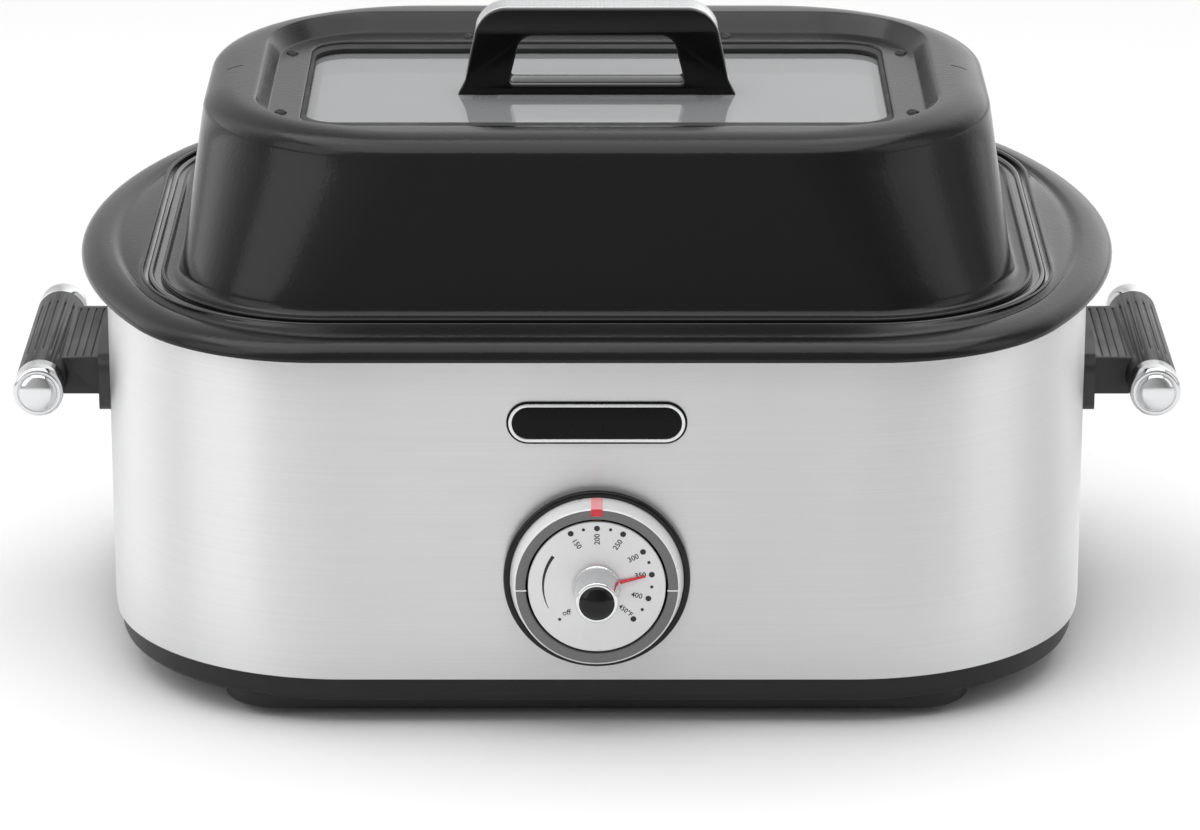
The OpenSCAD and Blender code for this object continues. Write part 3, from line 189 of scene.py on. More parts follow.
class Finish:
    """A material with a Principled shader, built up with grain, mottle and bump."""

    def __init__(self, name, colour, metallic=0.0, roughness=0.4, **sockets):
        self.material = bpy.data.materials.new(name)
        self.material.use_nodes = True
        self.tree = self.material.node_tree
        self.shader = self.tree.nodes["Principled BSDF"]
        self.set(self.shader, Base_Color=(*colour, 1.0), Metallic=metallic, Roughness=roughness, **sockets)
        self.coords = self.tree.nodes.new("ShaderNodeTexCoord").outputs["Object"]
        self.bumps = None

    def set(self, node, **sockets):
        for socket, value in sockets.items():
            node.inputs[socket.replace("_", " ")].default_value = value
        return node

    def node(self, kind, **sockets):
        return self.set(self.tree.nodes.new("ShaderNode" + kind), **sockets)

    def stretched(self, stretch):
        mapping = self.node("Mapping", Scale=stretch)
        self.tree.links.new(self.coords, mapping.inputs["Vector"])
        return mapping.outputs["Vector"]

    def noise(self, scale, stretch=(1, 1, 1), detail=4.0, roughness=0.55):
        node = self.node("TexNoise", Scale=scale, Detail=detail, Roughness=roughness)
        self.tree.links.new(self.stretched(stretch), node.inputs["Vector"])
        return node.outputs["Fac"]

    def ranged(self, value, low, high, start=0.3, stop=0.7):
        node = self.node("MapRange", From_Min=start, From_Max=stop, To_Min=low, To_Max=high)
        self.tree.links.new(value, node.inputs["Value"])
        return node.outputs["Result"]

    def rough(self, value, low, high):
        self.tree.links.new(self.ranged(value, low, high), self.shader.inputs["Roughness"])
        return self

    def tint(self, value, dark, bright, start=0.3, stop=0.7):
        ramp = self.node("ValToRGB")
        ramp.color_ramp.elements[0].position = start
        ramp.color_ramp.elements[0].color = (*dark, 1.0)
        ramp.color_ramp.elements[1].position = stop
        ramp.color_ramp.elements[1].color = (*bright, 1.0)
        self.tree.links.new(value, ramp.inputs["Fac"])
        self.tree.links.new(ramp.outputs["Color"], self.shader.inputs["Base Color"])
        return self

    def bump(self, value, strength, distance):
        node = self.node("Bump", Strength=strength, Distance=distance)
        self.tree.links.new(value, node.inputs["Height"])
        if self.bumps:
            self.tree.links.new(self.bumps, node.inputs["Normal"])
        self.bumps = node.outputs["Normal"]
        self.tree.links.new(self.bumps, self.shader.inputs["Normal"])
        return self


def shade(colour, factor):
    return tuple(min(1.0, part * factor) for part in colour)


def mottled(name, colour, roughness, clouds, grain, **sockets):
    """Clouds hold a noise scale and the range of the roughness; grain holds scale, detail, strength and depth."""
    skin = Finish(name, colour, roughness=roughness, **sockets)
    scale, low, high = clouds
    skin.rough(skin.noise(scale), low, high)
    scale, detail, strength, depth = grain
    skin.bump(skin.noise(scale, detail=detail), strength, depth)
    return skin.material


def brushed_steel():
    colour = colours().steel
    steel = Finish("brushed_steel", colour, metallic=1.0, roughness=0.42, Anisotropic=0.92, Anisotropic_Rotation=0.25)
    lines = steel.noise(1.0, (9, 9, 2600), detail=5.0, roughness=0.65)
    cloud = steel.noise(5.0, (1, 1, 0.6), detail=3.0)
    steel.tint(lines, shade(colour, 0.965), shade(colour, 1.03))
    steel.rough(cloud, 0.39, 0.45)
    steel.bump(lines, 0.06, 0.0001)
    tangent = steel.tree.nodes.new("ShaderNodeTangent")
    tangent.direction_type = "RADIAL"
    tangent.axis = "Z"
    steel.tree.links.new(tangent.outputs["Tangent"], steel.shader.inputs["Tangent"])
    return steel.material


def enamel():
    colour = colours().enamel
    coat = Finish("black_enamel", colour, roughness=0.18, Specular_IOR_Level=0.32)
    cloud = coat.noise(14.0, detail=3.0)
    peel = coat.noise(420.0, detail=2.0)
    specks = coat.noise(1600.0, detail=2.0)
    coat.tint(specks, shade(colour, 0.85), shade(colour, 1.3))
    coat.rough(cloud, 0.15, 0.22)
    coat.bump(peel, 0.22, 0.0004)
    coat.bump(specks, 0.05, 0.0001)
    return coat.material


def pan_enamel():
    colour = colours().pan
    coat = Finish("pan_enamel", colour, roughness=0.14, Coat_Weight=0.5, Coat_Roughness=0.05)
    specks = coat.noise(900.0, detail=1.0)
    coat.tint(specks, colour, (0.16, 0.16, 0.17), start=0.72, stop=0.78)
    coat.rough(coat.noise(30.0), 0.10, 0.20)
    coat.bump(coat.noise(160.0, detail=2.0), 0.10, 0.0006)
    return coat.material


def grip_plastic():
    colour = colours().grip
    plastic = Finish("grip_plastic", colour, roughness=0.42)
    pores = plastic.noise(2200.0, detail=3.0)
    plastic.tint(pores, shade(colour, 0.8), shade(colour, 1.25))
    plastic.rough(plastic.noise(35.0), 0.36, 0.48)
    plastic.bump(pores, 0.22, 0.0002)
    return plastic.material


def ring_plastic():
    colour = colours().ring
    plastic = Finish("ring_grey", colour, roughness=0.45)
    pores = plastic.noise(2600.0, detail=2.0)
    plastic.tint(pores, shade(colour, 0.9), shade(colour, 1.12))
    plastic.rough(plastic.noise(60.0), 0.40, 0.52)
    plastic.bump(pores, 0.12, 0.0002)
    return plastic.material


def plate_paint():
    colour = colours().plate
    paint = Finish("scale_plate", colour, metallic=0.15, roughness=0.34)
    flakes = paint.noise(3000.0, detail=2.0)
    paint.tint(flakes, shade(colour, 0.94), shade(colour, 1.06))
    paint.rough(paint.noise(50.0), 0.30, 0.40)
    paint.bump(flakes, 0.05, 0.0001)
    return paint.material


def chrome():
    colour = colours().chrome
    metal = Finish("bright_chrome", colour, metallic=1.0, roughness=0.10)
    metal.rough(metal.noise(90.0, detail=2.0), 0.07, 0.14)
    metal.bump(metal.noise(60.0, detail=1.0), 0.03, 0.0005)
    return metal.material


def satin_silver():
    colour = colours().chrome
    metal = Finish("satin_silver", shade(colour, 0.98), metallic=1.0, roughness=0.28)
    lines = metal.noise(1.0, (1200, 12, 1200), detail=4.0)
    metal.tint(lines, shade(colour, 0.92), shade(colour, 1.03))
    metal.rough(metal.noise(45.0), 0.22, 0.33)
    metal.bump(lines, 0.04, 0.0001)
    return metal.material


# Near-white, mostly diffuse paint for the chrome drum: its silver plus a painted reflection of the bright studio.
def drum_silver_and_sheen():
    paint = Finish("drum_silver_and_sheen", (0.86, 0.86, 0.865), metallic=0.25, roughness=0.3)
    paint.tint(paint.noise(2500.0, detail=2.0), (0.80, 0.80, 0.805), (0.88, 0.88, 0.885))
    paint.rough(paint.noise(70.0), 0.26, 0.36)
    paint.bump(paint.noise(2500.0, detail=2.0), 0.04, 0.0001)
    return paint.material


def plain_steel(name, colour, low, high):
    metal = Finish(name, colour, metallic=1.0, roughness=0.35)
    metal.tint(metal.noise(60.0, detail=5.0), shade(colour, 0.88), shade(colour, 1.06))
    metal.rough(metal.noise(120.0), low, high)
    metal.bump(metal.noise(900.0), 0.10, 0.0002)
    return metal.material


# Half-opaque grey base colour: the glass's tint plus a painted reflection of the bright studio on the glass.
def window_glass():
    glass = Finish(
        "window_glass", colours().window, roughness=0.06, Alpha=0.62, IOR=1.5, Coat_Weight=0.6, Coat_Roughness=0.03
    )
    glass.rough(glass.noise(9.0, detail=2.0), 0.045, 0.085)
    glass.bump(glass.noise(5.0, detail=1.0), 0.04, 0.002)
    return glass.material


def mineral_wool():
    wool = Finish("mineral_wool", (0.72, 0.68, 0.56), roughness=0.9)
    fibres = wool.noise(60.0, (1, 1, 5), detail=8.0, roughness=0.8)
    wool.tint(fibres, (0.55, 0.50, 0.38), (0.84, 0.81, 0.70))
    wool.rough(wool.noise(20.0), 0.82, 0.95)
    wool.bump(fibres, 0.8, 0.003)
    return wool.material


def ceramic():
    clay = Finish("ceramic", (0.78, 0.75, 0.68), roughness=0.5)
    clay.tint(clay.noise(300.0), (0.72, 0.69, 0.62), (0.82, 0.79, 0.73))
    clay.rough(clay.noise(70.0), 0.42, 0.6)
    clay.bump(clay.noise(1200.0), 0.15, 0.0002)
    return clay.material


BLACK_PAINT = (0.008, 0.008, 0.009)
DEEP_BLACK = (0.004, 0.004, 0.0042)
RUBBER = (0.012, 0.012, 0.012)
LAMP = (0.9, 0.42, 0.2)
# Paler pink copy of the lens's red: a painted highlight on the upward-facing part of the lens, where the overhead
# light falls.
LENS_PAINTED_HIGHLIGHT = (0.90, 0.36, 0.38)
DARK_INK = (0.012, 0.012, 0.013)
WHITE_INK = (0.85, 0.85, 0.85)
INK_GRAIN = (3000.0, 4.0, 0.05, 0.00005)
RED_GRAIN = (500.0, 4.0, 0.05, 0.0002)
RED_COAT = {"Coat_Weight": 0.3, "Coat_Roughness": 0.05}
MAKERS = {
    "brushed_steel": brushed_steel,
    "enamel": enamel,
    "pan_enamel": pan_enamel,
    "base_paint": lambda: mottled(
        "base_paint", BLACK_PAINT, 0.42, (22.0, 0.36, 0.48), (700.0, 2.0, 0.2, 0.0003), Specular_IOR_Level=0.35
    ),
    "gloss_plastic": lambda: mottled(
        "gloss_black", colours().plastic, 0.12, (40.0, 0.09, 0.17), (90.0, 2.0, 0.05, 0.0004), Specular_IOR_Level=0.3
    ),
    "deep_black": lambda: mottled(
        "deep_black", DEEP_BLACK, 0.3, (60.0, 0.25, 0.36), (300.0, 4.0, 0.03, 0.0001), Specular_IOR_Level=0.12
    ),
    "rubber": lambda: mottled("rubber", RUBBER, 0.6, (50.0, 0.5, 0.7), (1500.0, 4.0, 0.25, 0.0002)),
    "lamp_glass": lambda: mottled(
        "lamp_glass", LAMP, 0.1, (200.0, 0.06, 0.14), (300.0, 4.0, 0.05, 0.0002), Alpha=0.7, IOR=1.5
    ),
    "red": lambda: mottled("red_plastic", colours().red, 0.25, (80.0, 0.2, 0.3125), RED_GRAIN, **RED_COAT),
    # Painted highlight: a paler pink copy of the red plastic for the lens's top part.
    "lens_painted_highlight": lambda: mottled("lens_painted_highlight", LENS_PAINTED_HIGHLIGHT, 0.16, (80.0, 0.128, 0.2), RED_GRAIN, **RED_COAT),
    "ink": lambda: mottled("dial_ink", DARK_INK, 0.45, (400.0, 0.38, 0.52), INK_GRAIN),
    "white_ink": lambda: mottled("index_white", WHITE_INK, 0.4, (400.0, 0.34, 0.46), INK_GRAIN),
    "grip_plastic": grip_plastic,
    "ring_plastic": ring_plastic,
    "plate_paint": plate_paint,
    "chrome": chrome,
    "satin_silver": satin_silver,
    "drum_silver_and_sheen": drum_silver_and_sheen,
    "well_metal": lambda: plain_steel("well_metal", (0.60, 0.60, 0.61), 0.3, 0.45),
    "zinc": lambda: plain_steel("zinc", (0.55, 0.56, 0.58), 0.28, 0.42),
    "brass": lambda: plain_steel("brass", (0.72, 0.55, 0.25), 0.25, 0.38),
    "window_glass": window_glass,
    "mineral_wool": mineral_wool,
    "ceramic": ceramic,
}
SHELF = {}


def finish(name):
    if name not in SHELF:
        SHELF[name] = MAKERS[name]()
    return SHELF[name]


# ---------- forms ----------

STRAIGHT = 1000000.0


def oval(a, b, r, bow=STRAIGHT, corner=30, end=16):
    """Points round an outline with straight sides, round corners and bowed ends."""
    cy = b - r
    cx = a - bow + sqrt((bow - r) ** 2 - cy**2)
    t = atan2(cy, cx - (a - bow))
    points = []
    for side in (1, -1):
        turn = 0.0 if side > 0 else pi
        for i in range(1, end):
            p = turn - t + 2 * t * i / end
            points.append((side * (a - bow) + bow * cos(p), bow * sin(p)))
        for i in range(corner + 1):
            p = turn + t + (pi / 2 - t) * i / corner
            points.append((side * cx + r * cos(p), side * cy + r * sin(p)))
        for i in range(corner + 1):
            p = turn + pi / 2 + (pi / 2 - t) * i / corner
            points.append((-side * cx + r * cos(p), side * cy + r * sin(p)))
    return points


def arc(cx, cy, r, start, stop, steps=8):
    """Points of an arc in a profile, with the angles in degrees."""
    turns = [radians(start + (stop - start) * i / steps) for i in range(steps + 1)]
    return [(cx + r * cos(turn), cy + r * sin(turn)) for turn in turns]


def circle(r, steps):
    """Points of a full circle, counted once round."""
    return arc(0, 0, r, 0, 360, steps)[:-1]


def settle(bm, name, shade_name, body, replaced=(), crease=34.0):
    """Makes an object of the mesh, in millimetres from the body's middle, and lets it ride."""
    bmesh.ops.recalc_face_normals(bm, faces=bm.faces)
    bm.transform(Matrix.Scale(MM, 4) @ Matrix.Translation((0, MIDDLE, 0)))
    mesh = bpy.data.meshes.new(name)
    bm.to_mesh(mesh)
    bm.free()
    mesh.materials.append(finish(shade_name))
    mesh.shade_smooth()
    mesh.set_sharp_from_angle(angle=radians(crease))
    piece = bpy.data.objects.new(name, mesh)
    bpy.context.scene.collection.objects.link(piece)
    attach(piece, body)
    if replaced:
        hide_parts(*replaced)
    return piece


def loft(rings, loop=True, capped=False):
    """A mesh through rings of points; loop joins the last ring to the first."""
    bm = bmesh.new()
    rows = [[bm.verts.new(point) for point in ring] for ring in rings]
    count = len(rows[0])
    pairs = list(zip(rows, rows[1:]))
    if loop:
        pairs.append((rows[-1], rows[0]))
    for lower, upper in pairs:
        for i in range(count):
            j = (i + 1) % count
            bm.faces.new((lower[i], lower[j], upper[j], upper[i]))
    if capped:
        bm.faces.new(rows[0])
        bm.faces.new(rows[-1])
    return bm


def oval_ring(station, end):
    if len(station) == 4:
        first, second, f, z = station
        pairs = zip(oval_ring(first, end), oval_ring(second, end))
        return [(p[0] + (q[0] - p[0]) * f, p[1] + (q[1] - p[1]) * f, z) for p, q in pairs]
    return [(x, y, station[4]) for x, y in oval(*station[:4], end=end)]


def oval_rings(stations, end=16):
    """Each station holds half length, half depth, corner radius, bow radius and height, or a mix of two stations."""
    return [oval_ring(station, end) for station in stations]


def turned(profile, x, z, steps=160):
    """A closed profile of (radius, distance in front of the shell) turned about a front-to-back axis."""
    return [[(x + across, FRONT - out, z + up) for across, up in circle(radius, steps)] for radius, out in profile]


def mesh_of(curve):
    """A mesh made of a curve or a text, which leaves nothing else behind."""
    holder = bpy.data.objects.new(curve.name, curve)
    bpy.context.scene.collection.objects.link(holder)
    bpy.context.view_layer.update()
    mesh = bpy.data.meshes.new_from_object(holder.evaluated_get(bpy.context.evaluated_depsgraph_get()))
    bpy.data.objects.remove(holder)
    bm = bmesh.new()
    bm.from_mesh(mesh)
    bpy.data.meshes.remove(mesh)
    return bm


def stand_up(bm, x, y, z, turn=0.0):
    """Stands a flat mesh up to face the front, with its middle at a place, after a turn in degrees."""
    upright = Matrix.Rotation(radians(90), 4, "X") @ Matrix.Rotation(radians(turn), 4, "Z")
    bm.transform(Matrix.Translation((x, y, z)) @ upright)


def cut_plate(name, outlines, y_front, y_back, shade_name, body, replaced=(), ease=0.5, origin=(0, 0)):
    """A plate seen from the front, with holes and eased edges. The outlines hold (x, z) points."""
    curve = bpy.data.curves.new(name, "CURVE")
    curve.dimensions = "2D"
    curve.fill_mode = "BOTH"
    curve.extrude = (y_back - y_front) / 2 - ease
    curve.bevel_depth = ease
    curve.bevel_resolution = 2
    curve.offset = -ease
    for outline in outlines:
        spline = curve.splines.new("POLY")
        spline.points.add(len(outline) - 1)
        for point, (x, z) in zip(spline.points, outline):
            point.co = (x, z, 0, 1)
        spline.use_cyclic_u = True
    bm = mesh_of(curve)
    bmesh.ops.remove_doubles(bm, verts=bm.verts, dist=0.0005)
    stand_up(bm, origin[0], (y_front + y_back) / 2, origin[1])
    return settle(bm, name, shade_name, body, replaced)


def eased(node, shade_name, width=None, angle=32.0, segments=2):
    """A copy of a CAD solid with its sharp edges rounded, in place of the node."""
    source = frame["nodes"][node]
    bm = bmesh.new()
    bm.from_mesh(source.data)
    bm.transform(Matrix.Translation((0, -MIDDLE, 0)) @ Matrix.Scale(1 / MM, 4))
    bmesh.ops.remove_doubles(bm, verts=bm.verts, dist=0.001)
    bmesh.ops.dissolve_limit(bm, angle_limit=radians(0.5), verts=bm.verts, edges=bm.edges, delimit={"NORMAL"})
    sharp = [edge for edge in bm.edges if len(edge.link_faces) == 2 and edge.calc_face_angle(0) > radians(angle)]
    bmesh.ops.bevel(
        bm,
        geom=sharp,
        offset=(sizes().edge / MM) if width is None else width,
        segments=segments,
        profile=0.5,
        affect="EDGES",
        clamp_overlap=True,
    )
    return settle(bm, node + "_eased", shade_name, source["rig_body"], (node,), crease=40.0)


def dress(node, shade_name):
    """Gives a CAD node its finish."""
    mesh = frame["nodes"][node].data
    mesh.materials.clear()
    mesh.materials.append(finish(shade_name))


# ---------- body ----------


def shell_at(u, z):
    half = (SHELL_HIGH - SHELL_LOW) / 2
    return (half.x + u, half.y + u, sizes().shell_corner / MM + u, sizes().shell_bow / MM + u, z)


def collar_at(u, z):
    half = (COLLAR_HIGH - COLLAR_LOW) / 2
    return (half.x + u, half.y + u, sizes().collar_corner / MM + u, sizes().collar_bow / MM + u, z)


# How far the collar's ridge lies inside its edge, and the groove inside the ridge, at the ends and at the sides.
RIDGE_IN = (14.8, 10.8)
GROOVE_IN = (6.0, 4.4)


def ridge_at(u, z):
    half = (COLLAR_HIGH - COLLAR_LOW) / 2
    size = sizes()
    return (half.x - RIDGE_IN[0] + u, half.y - RIDGE_IN[1] + u, size.collar_corner / MM + 10 + u, size.collar_bow / MM - 10 + u, z)


def groove_at(u, z):
    a, b, r, bow, _ = ridge_at(u, z)
    return (a - GROOVE_IN[0], b - GROOVE_IN[1], r + 1, bow + 40, z)


# Half length, half depth and corner radius of the collar's opening and of the window's hole.
OPENING = (237, 186, 100)
WINDOW_HOLE = (155, 85, 20)


def between(p, q, f, z):
    """A station part of the way from one outline to another, at height z."""
    return (p, q, f, z)


def open_at(u, z):
    return (*(size + u for size in OPENING), STRAIGHT, z)


def window_at(u, z):
    return (*(size + u for size in WINDOW_HOLE), STRAIGHT, z)


class ROASTER_OT_body(bpy.types.Operator):
    """Steel wrap, base band, collar and what is under the oven"""

    bl_idname = "roaster.body"
    bl_label = "Body and Collar"

    def execute(self, context):
        low, top = SHELL_LOW.z, SHELL_HIGH.z
        wrap = [
            shell_at(-0.15, low), shell_at(0, low + 0.3), shell_at(0, low + 45), shell_at(0, low + 90),
            shell_at(0, low + 135), shell_at(0, top - 0.2), shell_at(-0.3, top), shell_at(-0.8, top),
            shell_at(-0.8, low),
        ]
        settle(loft(oval_rings(wrap)), "steel_wrap", "brushed_steel", "oven", ("outer_shell",))

        band = [shell_at(-2.9, low), shell_at(-2.9, low - 0.6), shell_at(-3.3, low - 5), shell_at(-3.9, low - 9.5)]
        band += [shell_at(-5.4 + x, z) for x, z in arc(0, low - 11.5, 1.5, 0, -80, 5)]
        band += [shell_at(-6.6, low - 13.0), shell_at(-6.6, low - 11), shell_at(-5.2, low)]
        settle(loft(oval_rings(band)), "base_band", "base_paint", "oven")

        bottom, z = COLLAR_LOW.z, COLLAR_HIGH.z
        skirt, tall = bottom + 1.0, 8.5
        ridge, groove, rim = ridge_at(0, 0), groove_at(0, 0), open_at(2.0, 0)
        a, b, r = [(side + size) / 2 for side, size in zip(groove, OPENING)]
        slope = (a, b, r + 3, 600, 0)
        collar = [collar_at(-0.5, bottom), collar_at(-0.15, bottom + 0.1), collar_at(0, bottom + 0.5)]
        for a in range(0, 91, 6):
            t = radians(a)
            collar.append(between(collar_at(0, 0), ridge, 1 - cos(t), skirt + tall * sin(t)))
        for f, drop in ((0.2, 2.04), (0.4, 2.28), (0.6, 2.72), (0.8, 3.16), (1.0, 3.4)):
            collar.append(between(ridge, groove, f, z - drop))
        for f, drop in ((0.12, 3.32), (0.28, 2.95), (0.45, 2.45), (0.7, 2.0), (1.0, 1.52)):
            collar.append(between(groove, slope, f, z - drop))
        collar += [between(slope, rim, 0.35, z - 1.1), between(slope, rim, 0.7, z - 0.62)]
        collar += [open_at(2.0, z - 0.22), open_at(1.6, z - 0.08)]
        collar += [open_at(1.0 + x, y) for x, y in arc(0, z - 1.0, 1.0, 80, 180, 6)]
        hem = z - 4.7
        collar += [
            open_at(0, hem + 0.2), open_at(0.3, hem), open_at(1.2, hem), open_at(1.3, z - 1.6),
            between(slope, rim, 0, z - 3.0), between(groove, slope, 0, z - 4.6), between(ridge, groove, 0.0, z - 3.2),
        ]
        for a in (67, 45, 22, 0):
            t = radians(a)
            collar.append(between(collar_at(-1.2, 0), ridge, 1 - cos(t), skirt + (tall - 1.2) * sin(t)))
        collar += [collar_at(-1.2, bottom)]
        settle(loft(oval_rings(collar, end=24)), "collar_enamel", "enamel", "oven", ("top_collar",))

        dress("base_pan", "base_paint")
        eased("bottom_cover", "base_paint")
        eased("feet", "rubber", 0.8)
        for node in ("cover_screws", "support_posts", "thermostat_bracket", "handle_bolts", "band_heater"):
            dress(node, "zinc")
        dress("heating_well", "well_metal")
        dress("insulation_blanket", "mineral_wool")
        for node in ("thermostat", "terminal_block"):
            dress(node, "ceramic")
        eased("cord_gland", "rubber", 0.6)
        dress("gland_nut", "grip_plastic")
        return {"FINISHED"}


class ROASTER_OT_pan(bpy.types.Operator):
    """Enamelled pan with its rolled rim, and the wire rack in it"""

    bl_idname = "roaster.pan"
    bl_label = "Pan and Rack"

    def execute(self, context):
        floor = PAN_LOW.z + 1.2
        ledge = PAN_HIGH.z - 2.2
        bead, wall, draft, fillet = -3.7, -15.0, 13.0, 20.0
        inner = wall - draft
        pan = [open_at(bead + x, y) for x, y in arc(0, ledge + 0.5, 1.7, -60, 196, 14)]
        pan += [open_at(bead - 2.0, ledge + 0.1), open_at(bead - 2.6, ledge), open_at(wall + 1.5, ledge)]
        pan += [open_at(wall + x, y) for x, y in arc(1.2, ledge - 1.5, 1.5, 100, 170, 5)]
        pan += [open_at(wall - draft * 0.35, ledge - 40), open_at(wall - draft * 0.7, ledge - 80)]
        pan += [open_at(inner - fillet + x, y) for x, y in arc(0, floor + fillet, fillet, 2, -88, 10)]
        pan += [open_at(inner - fillet - 12, floor), open_at(-150, floor)]
        under = [open_at(-150, floor - 1.2), open_at(inner - fillet - 12, floor - 1.2)]
        under += [open_at(inner - fillet + x, y) for x, y in arc(0, floor + fillet, fillet + 1.2, -88, 2, 10)]
        under += [open_at(wall + 1.2, ledge - 4), open_at(wall + 2.4, ledge - 1.2), open_at(bead, ledge - 1.2)]
        rings = oval_rings([(a, b, max(r, 4), bow, z) for a, b, r, bow, z in under + pan], end=2)
        bm = loft(rings, loop=False, capped=True)
        settle(bm, "pan_shell", "pan_enamel", "pan", ("cook_pan",))
        dress("roasting_rack", "chrome")
        dress("rack_loops", "chrome")
        return {"FINISHED"}


# ---------- lid ----------


# Half length, half depth and corner radius of the lid's wall at its foot, and how far its ends and sides lean in.
LID_FOOT = (216.9, 165.9, 79.9)
LID_LEAN = (9, 20)


def lid_wall(f, z, u=0.0):
    """The lid's wall; f runs from 0 at the foot to 1 at the top."""
    a, b, r = LID_FOOT
    corner = r * (1 - f) + sizes().lid_corner / MM * f
    return (a - LID_LEAN[0] * f + u, b - LID_LEAN[1] * f + u, corner + u, STRAIGHT, z)


def lid_crown(t, u=0.0):
    """The rounding at the top; t runs from 0 on the wall to 90 on the crown."""
    width = sizes().lid_crown / MM
    tall = 11.0
    d = width - (width + u) * cos(radians(t))
    a, b, r, bow, _ = lid_wall(1, 0)
    return (a - d, b - d, r - d, bow, LID_HIGH.z - tall + (tall + u) * sin(radians(t)))


# Half length, half depth and corner radius of the recess, and how much of the way to the crown its slope takes.
RECESS = (172.4, 104, 51)
RECESS_SHARES = (0.42, 0.57, 0.27)
RECESS_DEPTH = 8.7


def lid_recess(f, drop, u=0.0):
    """The slope of the recess; f runs from 0 at its crisp edge to 1 on its floor."""
    crown = lid_crown(90)
    sides = [
        low + (high - low) * share * (1 - f) - 0.4 * u for low, high, share in zip(RECESS, crown, RECESS_SHARES)
    ]
    return (*sides, crown[3], LID_HIGH.z - drop + u)


# The rivets beside the window's ends and its long sides, across and along from its middle.
RIVETS = [(165.6, 60), (71, 95.6)]


class ROASTER_OT_lid(bpy.types.Operator):
    """Domed lid with its recess, steam slits, window and rivets"""

    bl_idname = "roaster.lid"
    bl_label = "Lid and Window"

    def execute(self, context):
        z, t = LID_LOW.z, 1.2
        edge, root = -8.9, -15.1
        depth = RECESS_DEPTH
        floor = LID_HIGH.z - depth
        out = [open_at(edge, z), open_at(edge, z + 1.2)]
        out += [open_at(edge - 1.2 + x, y) for x, y in arc(0, z + 1.3, 1.2, 10, 150, 8)]
        out += [open_at(edge - 2.9, z + t + 0.1), open_at(edge - 3.6, z + t), open_at(root + 0.5, z + t)]
        foot = z + t + 6
        for i in range(1, 9):
            angle = radians(90 * i / 8)
            out.append(open_at(root - 5.0 * sin(angle) ** 1.15, z + t + 6 * (1 - cos(angle)) ** 1.1))
        top = lid_crown(0)[4]
        out += [lid_wall(f, foot + (top - foot) * f) for f in (0.12, 0.3, 0.5, 0.7, 0.88)]
        out += [lid_crown(a) for a in range(0, 91, 6)]
        brim, crown = lid_recess(0, 0), lid_crown(90)
        for f, drop in ((0.6, 0), (0.25, 0), (0.12, 0.03), (0.04, 0.15)):
            out.append(between(brim, crown, f, LID_HIGH.z - drop))
        out += [lid_recess(f, drop) for f, drop in ((0.03, 0.42), (0.1, 0.95))]
        out += [lid_recess(f, depth * f) for f in (0.2, 0.4, 0.6, 0.8, 0.9)]
        out += [lid_recess(f, depth - rise) for f, rise in ((0.96, 0.36), (1.0, 0.14), (1.05, 0.02), (1.12, 0))]
        out += [window_at(2.2, floor)]
        out += [window_at(x, y) for x, y in arc(1.2, floor - 1.2, 1.2, 90, 180, 5)]
        inside = [lid_recess(f, depth * max(f, 0) if f < 1 else depth, -t) for f in (1.1, 0.94, 0.5, 0.06)]
        inside += [between(lid_recess(0, 0, -t), crown, 0.3, LID_HIGH.z - t)]
        inside += [lid_crown(a, -t) for a in range(90, -1, -15)]
        inside += [lid_wall(0.5, (foot + top) / 2, -t), lid_wall(0, foot, -t), open_at(-21, z + 3), open_at(-18.5, z)]
        bm = loft(oval_rings(out + inside, end=2))
        lid = settle(bm, "lid_dome", "enamel", "lid", ("lid_shell",), crease=50)
        self.cut_slits(lid)

        dress("window_glass", "window_glass")
        eased("window_seal", "rubber", 0.4)
        dress("window_frame", "enamel")
        places = [(sx * x, sy * y) for x, y in RIVETS for sx in (1, -1) for sy in (1, -1)]
        for index, (x, y) in enumerate(places):
            self.rivet(index, x, y, floor)
        return {"FINISHED"}

    def cut_slits(self, lid):
        """Cuts the steam slits through the crown at both ends."""
        bm = bmesh.new()
        for side in (1, -1):
            place = Matrix.Translation((side * (lid_crown(90)[0] + 4.6), 0, LID_HIGH.z))
            place = place @ Matrix.Rotation(radians(-32 * side), 4, "Z") @ Matrix.Diagonal((9.6, 1.1, 26, 1))
            bmesh.ops.create_cube(bm, size=1.0, matrix=place)
        bm.transform(Matrix.Scale(MM, 4) @ Matrix.Translation((0, MIDDLE, 0)))
        mesh = bpy.data.meshes.new("slit_cutter")
        bm.to_mesh(mesh)
        bm.free()
        cutter = bpy.data.objects.new("slit_cutter", mesh)
        bpy.context.scene.collection.objects.link(cutter)
        cut = lid.modifiers.new("slits", "BOOLEAN")
        cut.operation = "DIFFERENCE"
        cut.solver = "EXACT"
        cut.object = cutter
        bpy.context.view_layer.update()
        done = bpy.data.meshes.new_from_object(lid.evaluated_get(bpy.context.evaluated_depsgraph_get()))
        lid.modifiers.clear()
        lid.data = done
        bpy.data.objects.remove(cutter)

    def rivet(self, index, x, y, floor):
        """A domed rivet, with its shank and the upset end below."""
        head = [(r, floor + h) for r, h in arc(0, -2.5, 4.4, 90, 35, 8)]
        tail = [(3.6, 0), (1.6, 0), (1.6, -2.4), (2.6, -2.5), (2.2, -3.6), (0.01, -3.6)]
        profile = [(0.01, head[0][1])] + head[1:] + [(r, floor + h) for r, h in tail]
        rings = [[(x + across, y + along, z) for across, along in circle(r, 36)] for r, z in profile]
        bm = loft(rings, loop=False, capped=True)
        replaced = ("lid_rivets",) if index == 0 else ()
        settle(bm, "window_rivet_%d" % index, "gloss_plastic", "lid", replaced)


# ---------- lid handle ----------


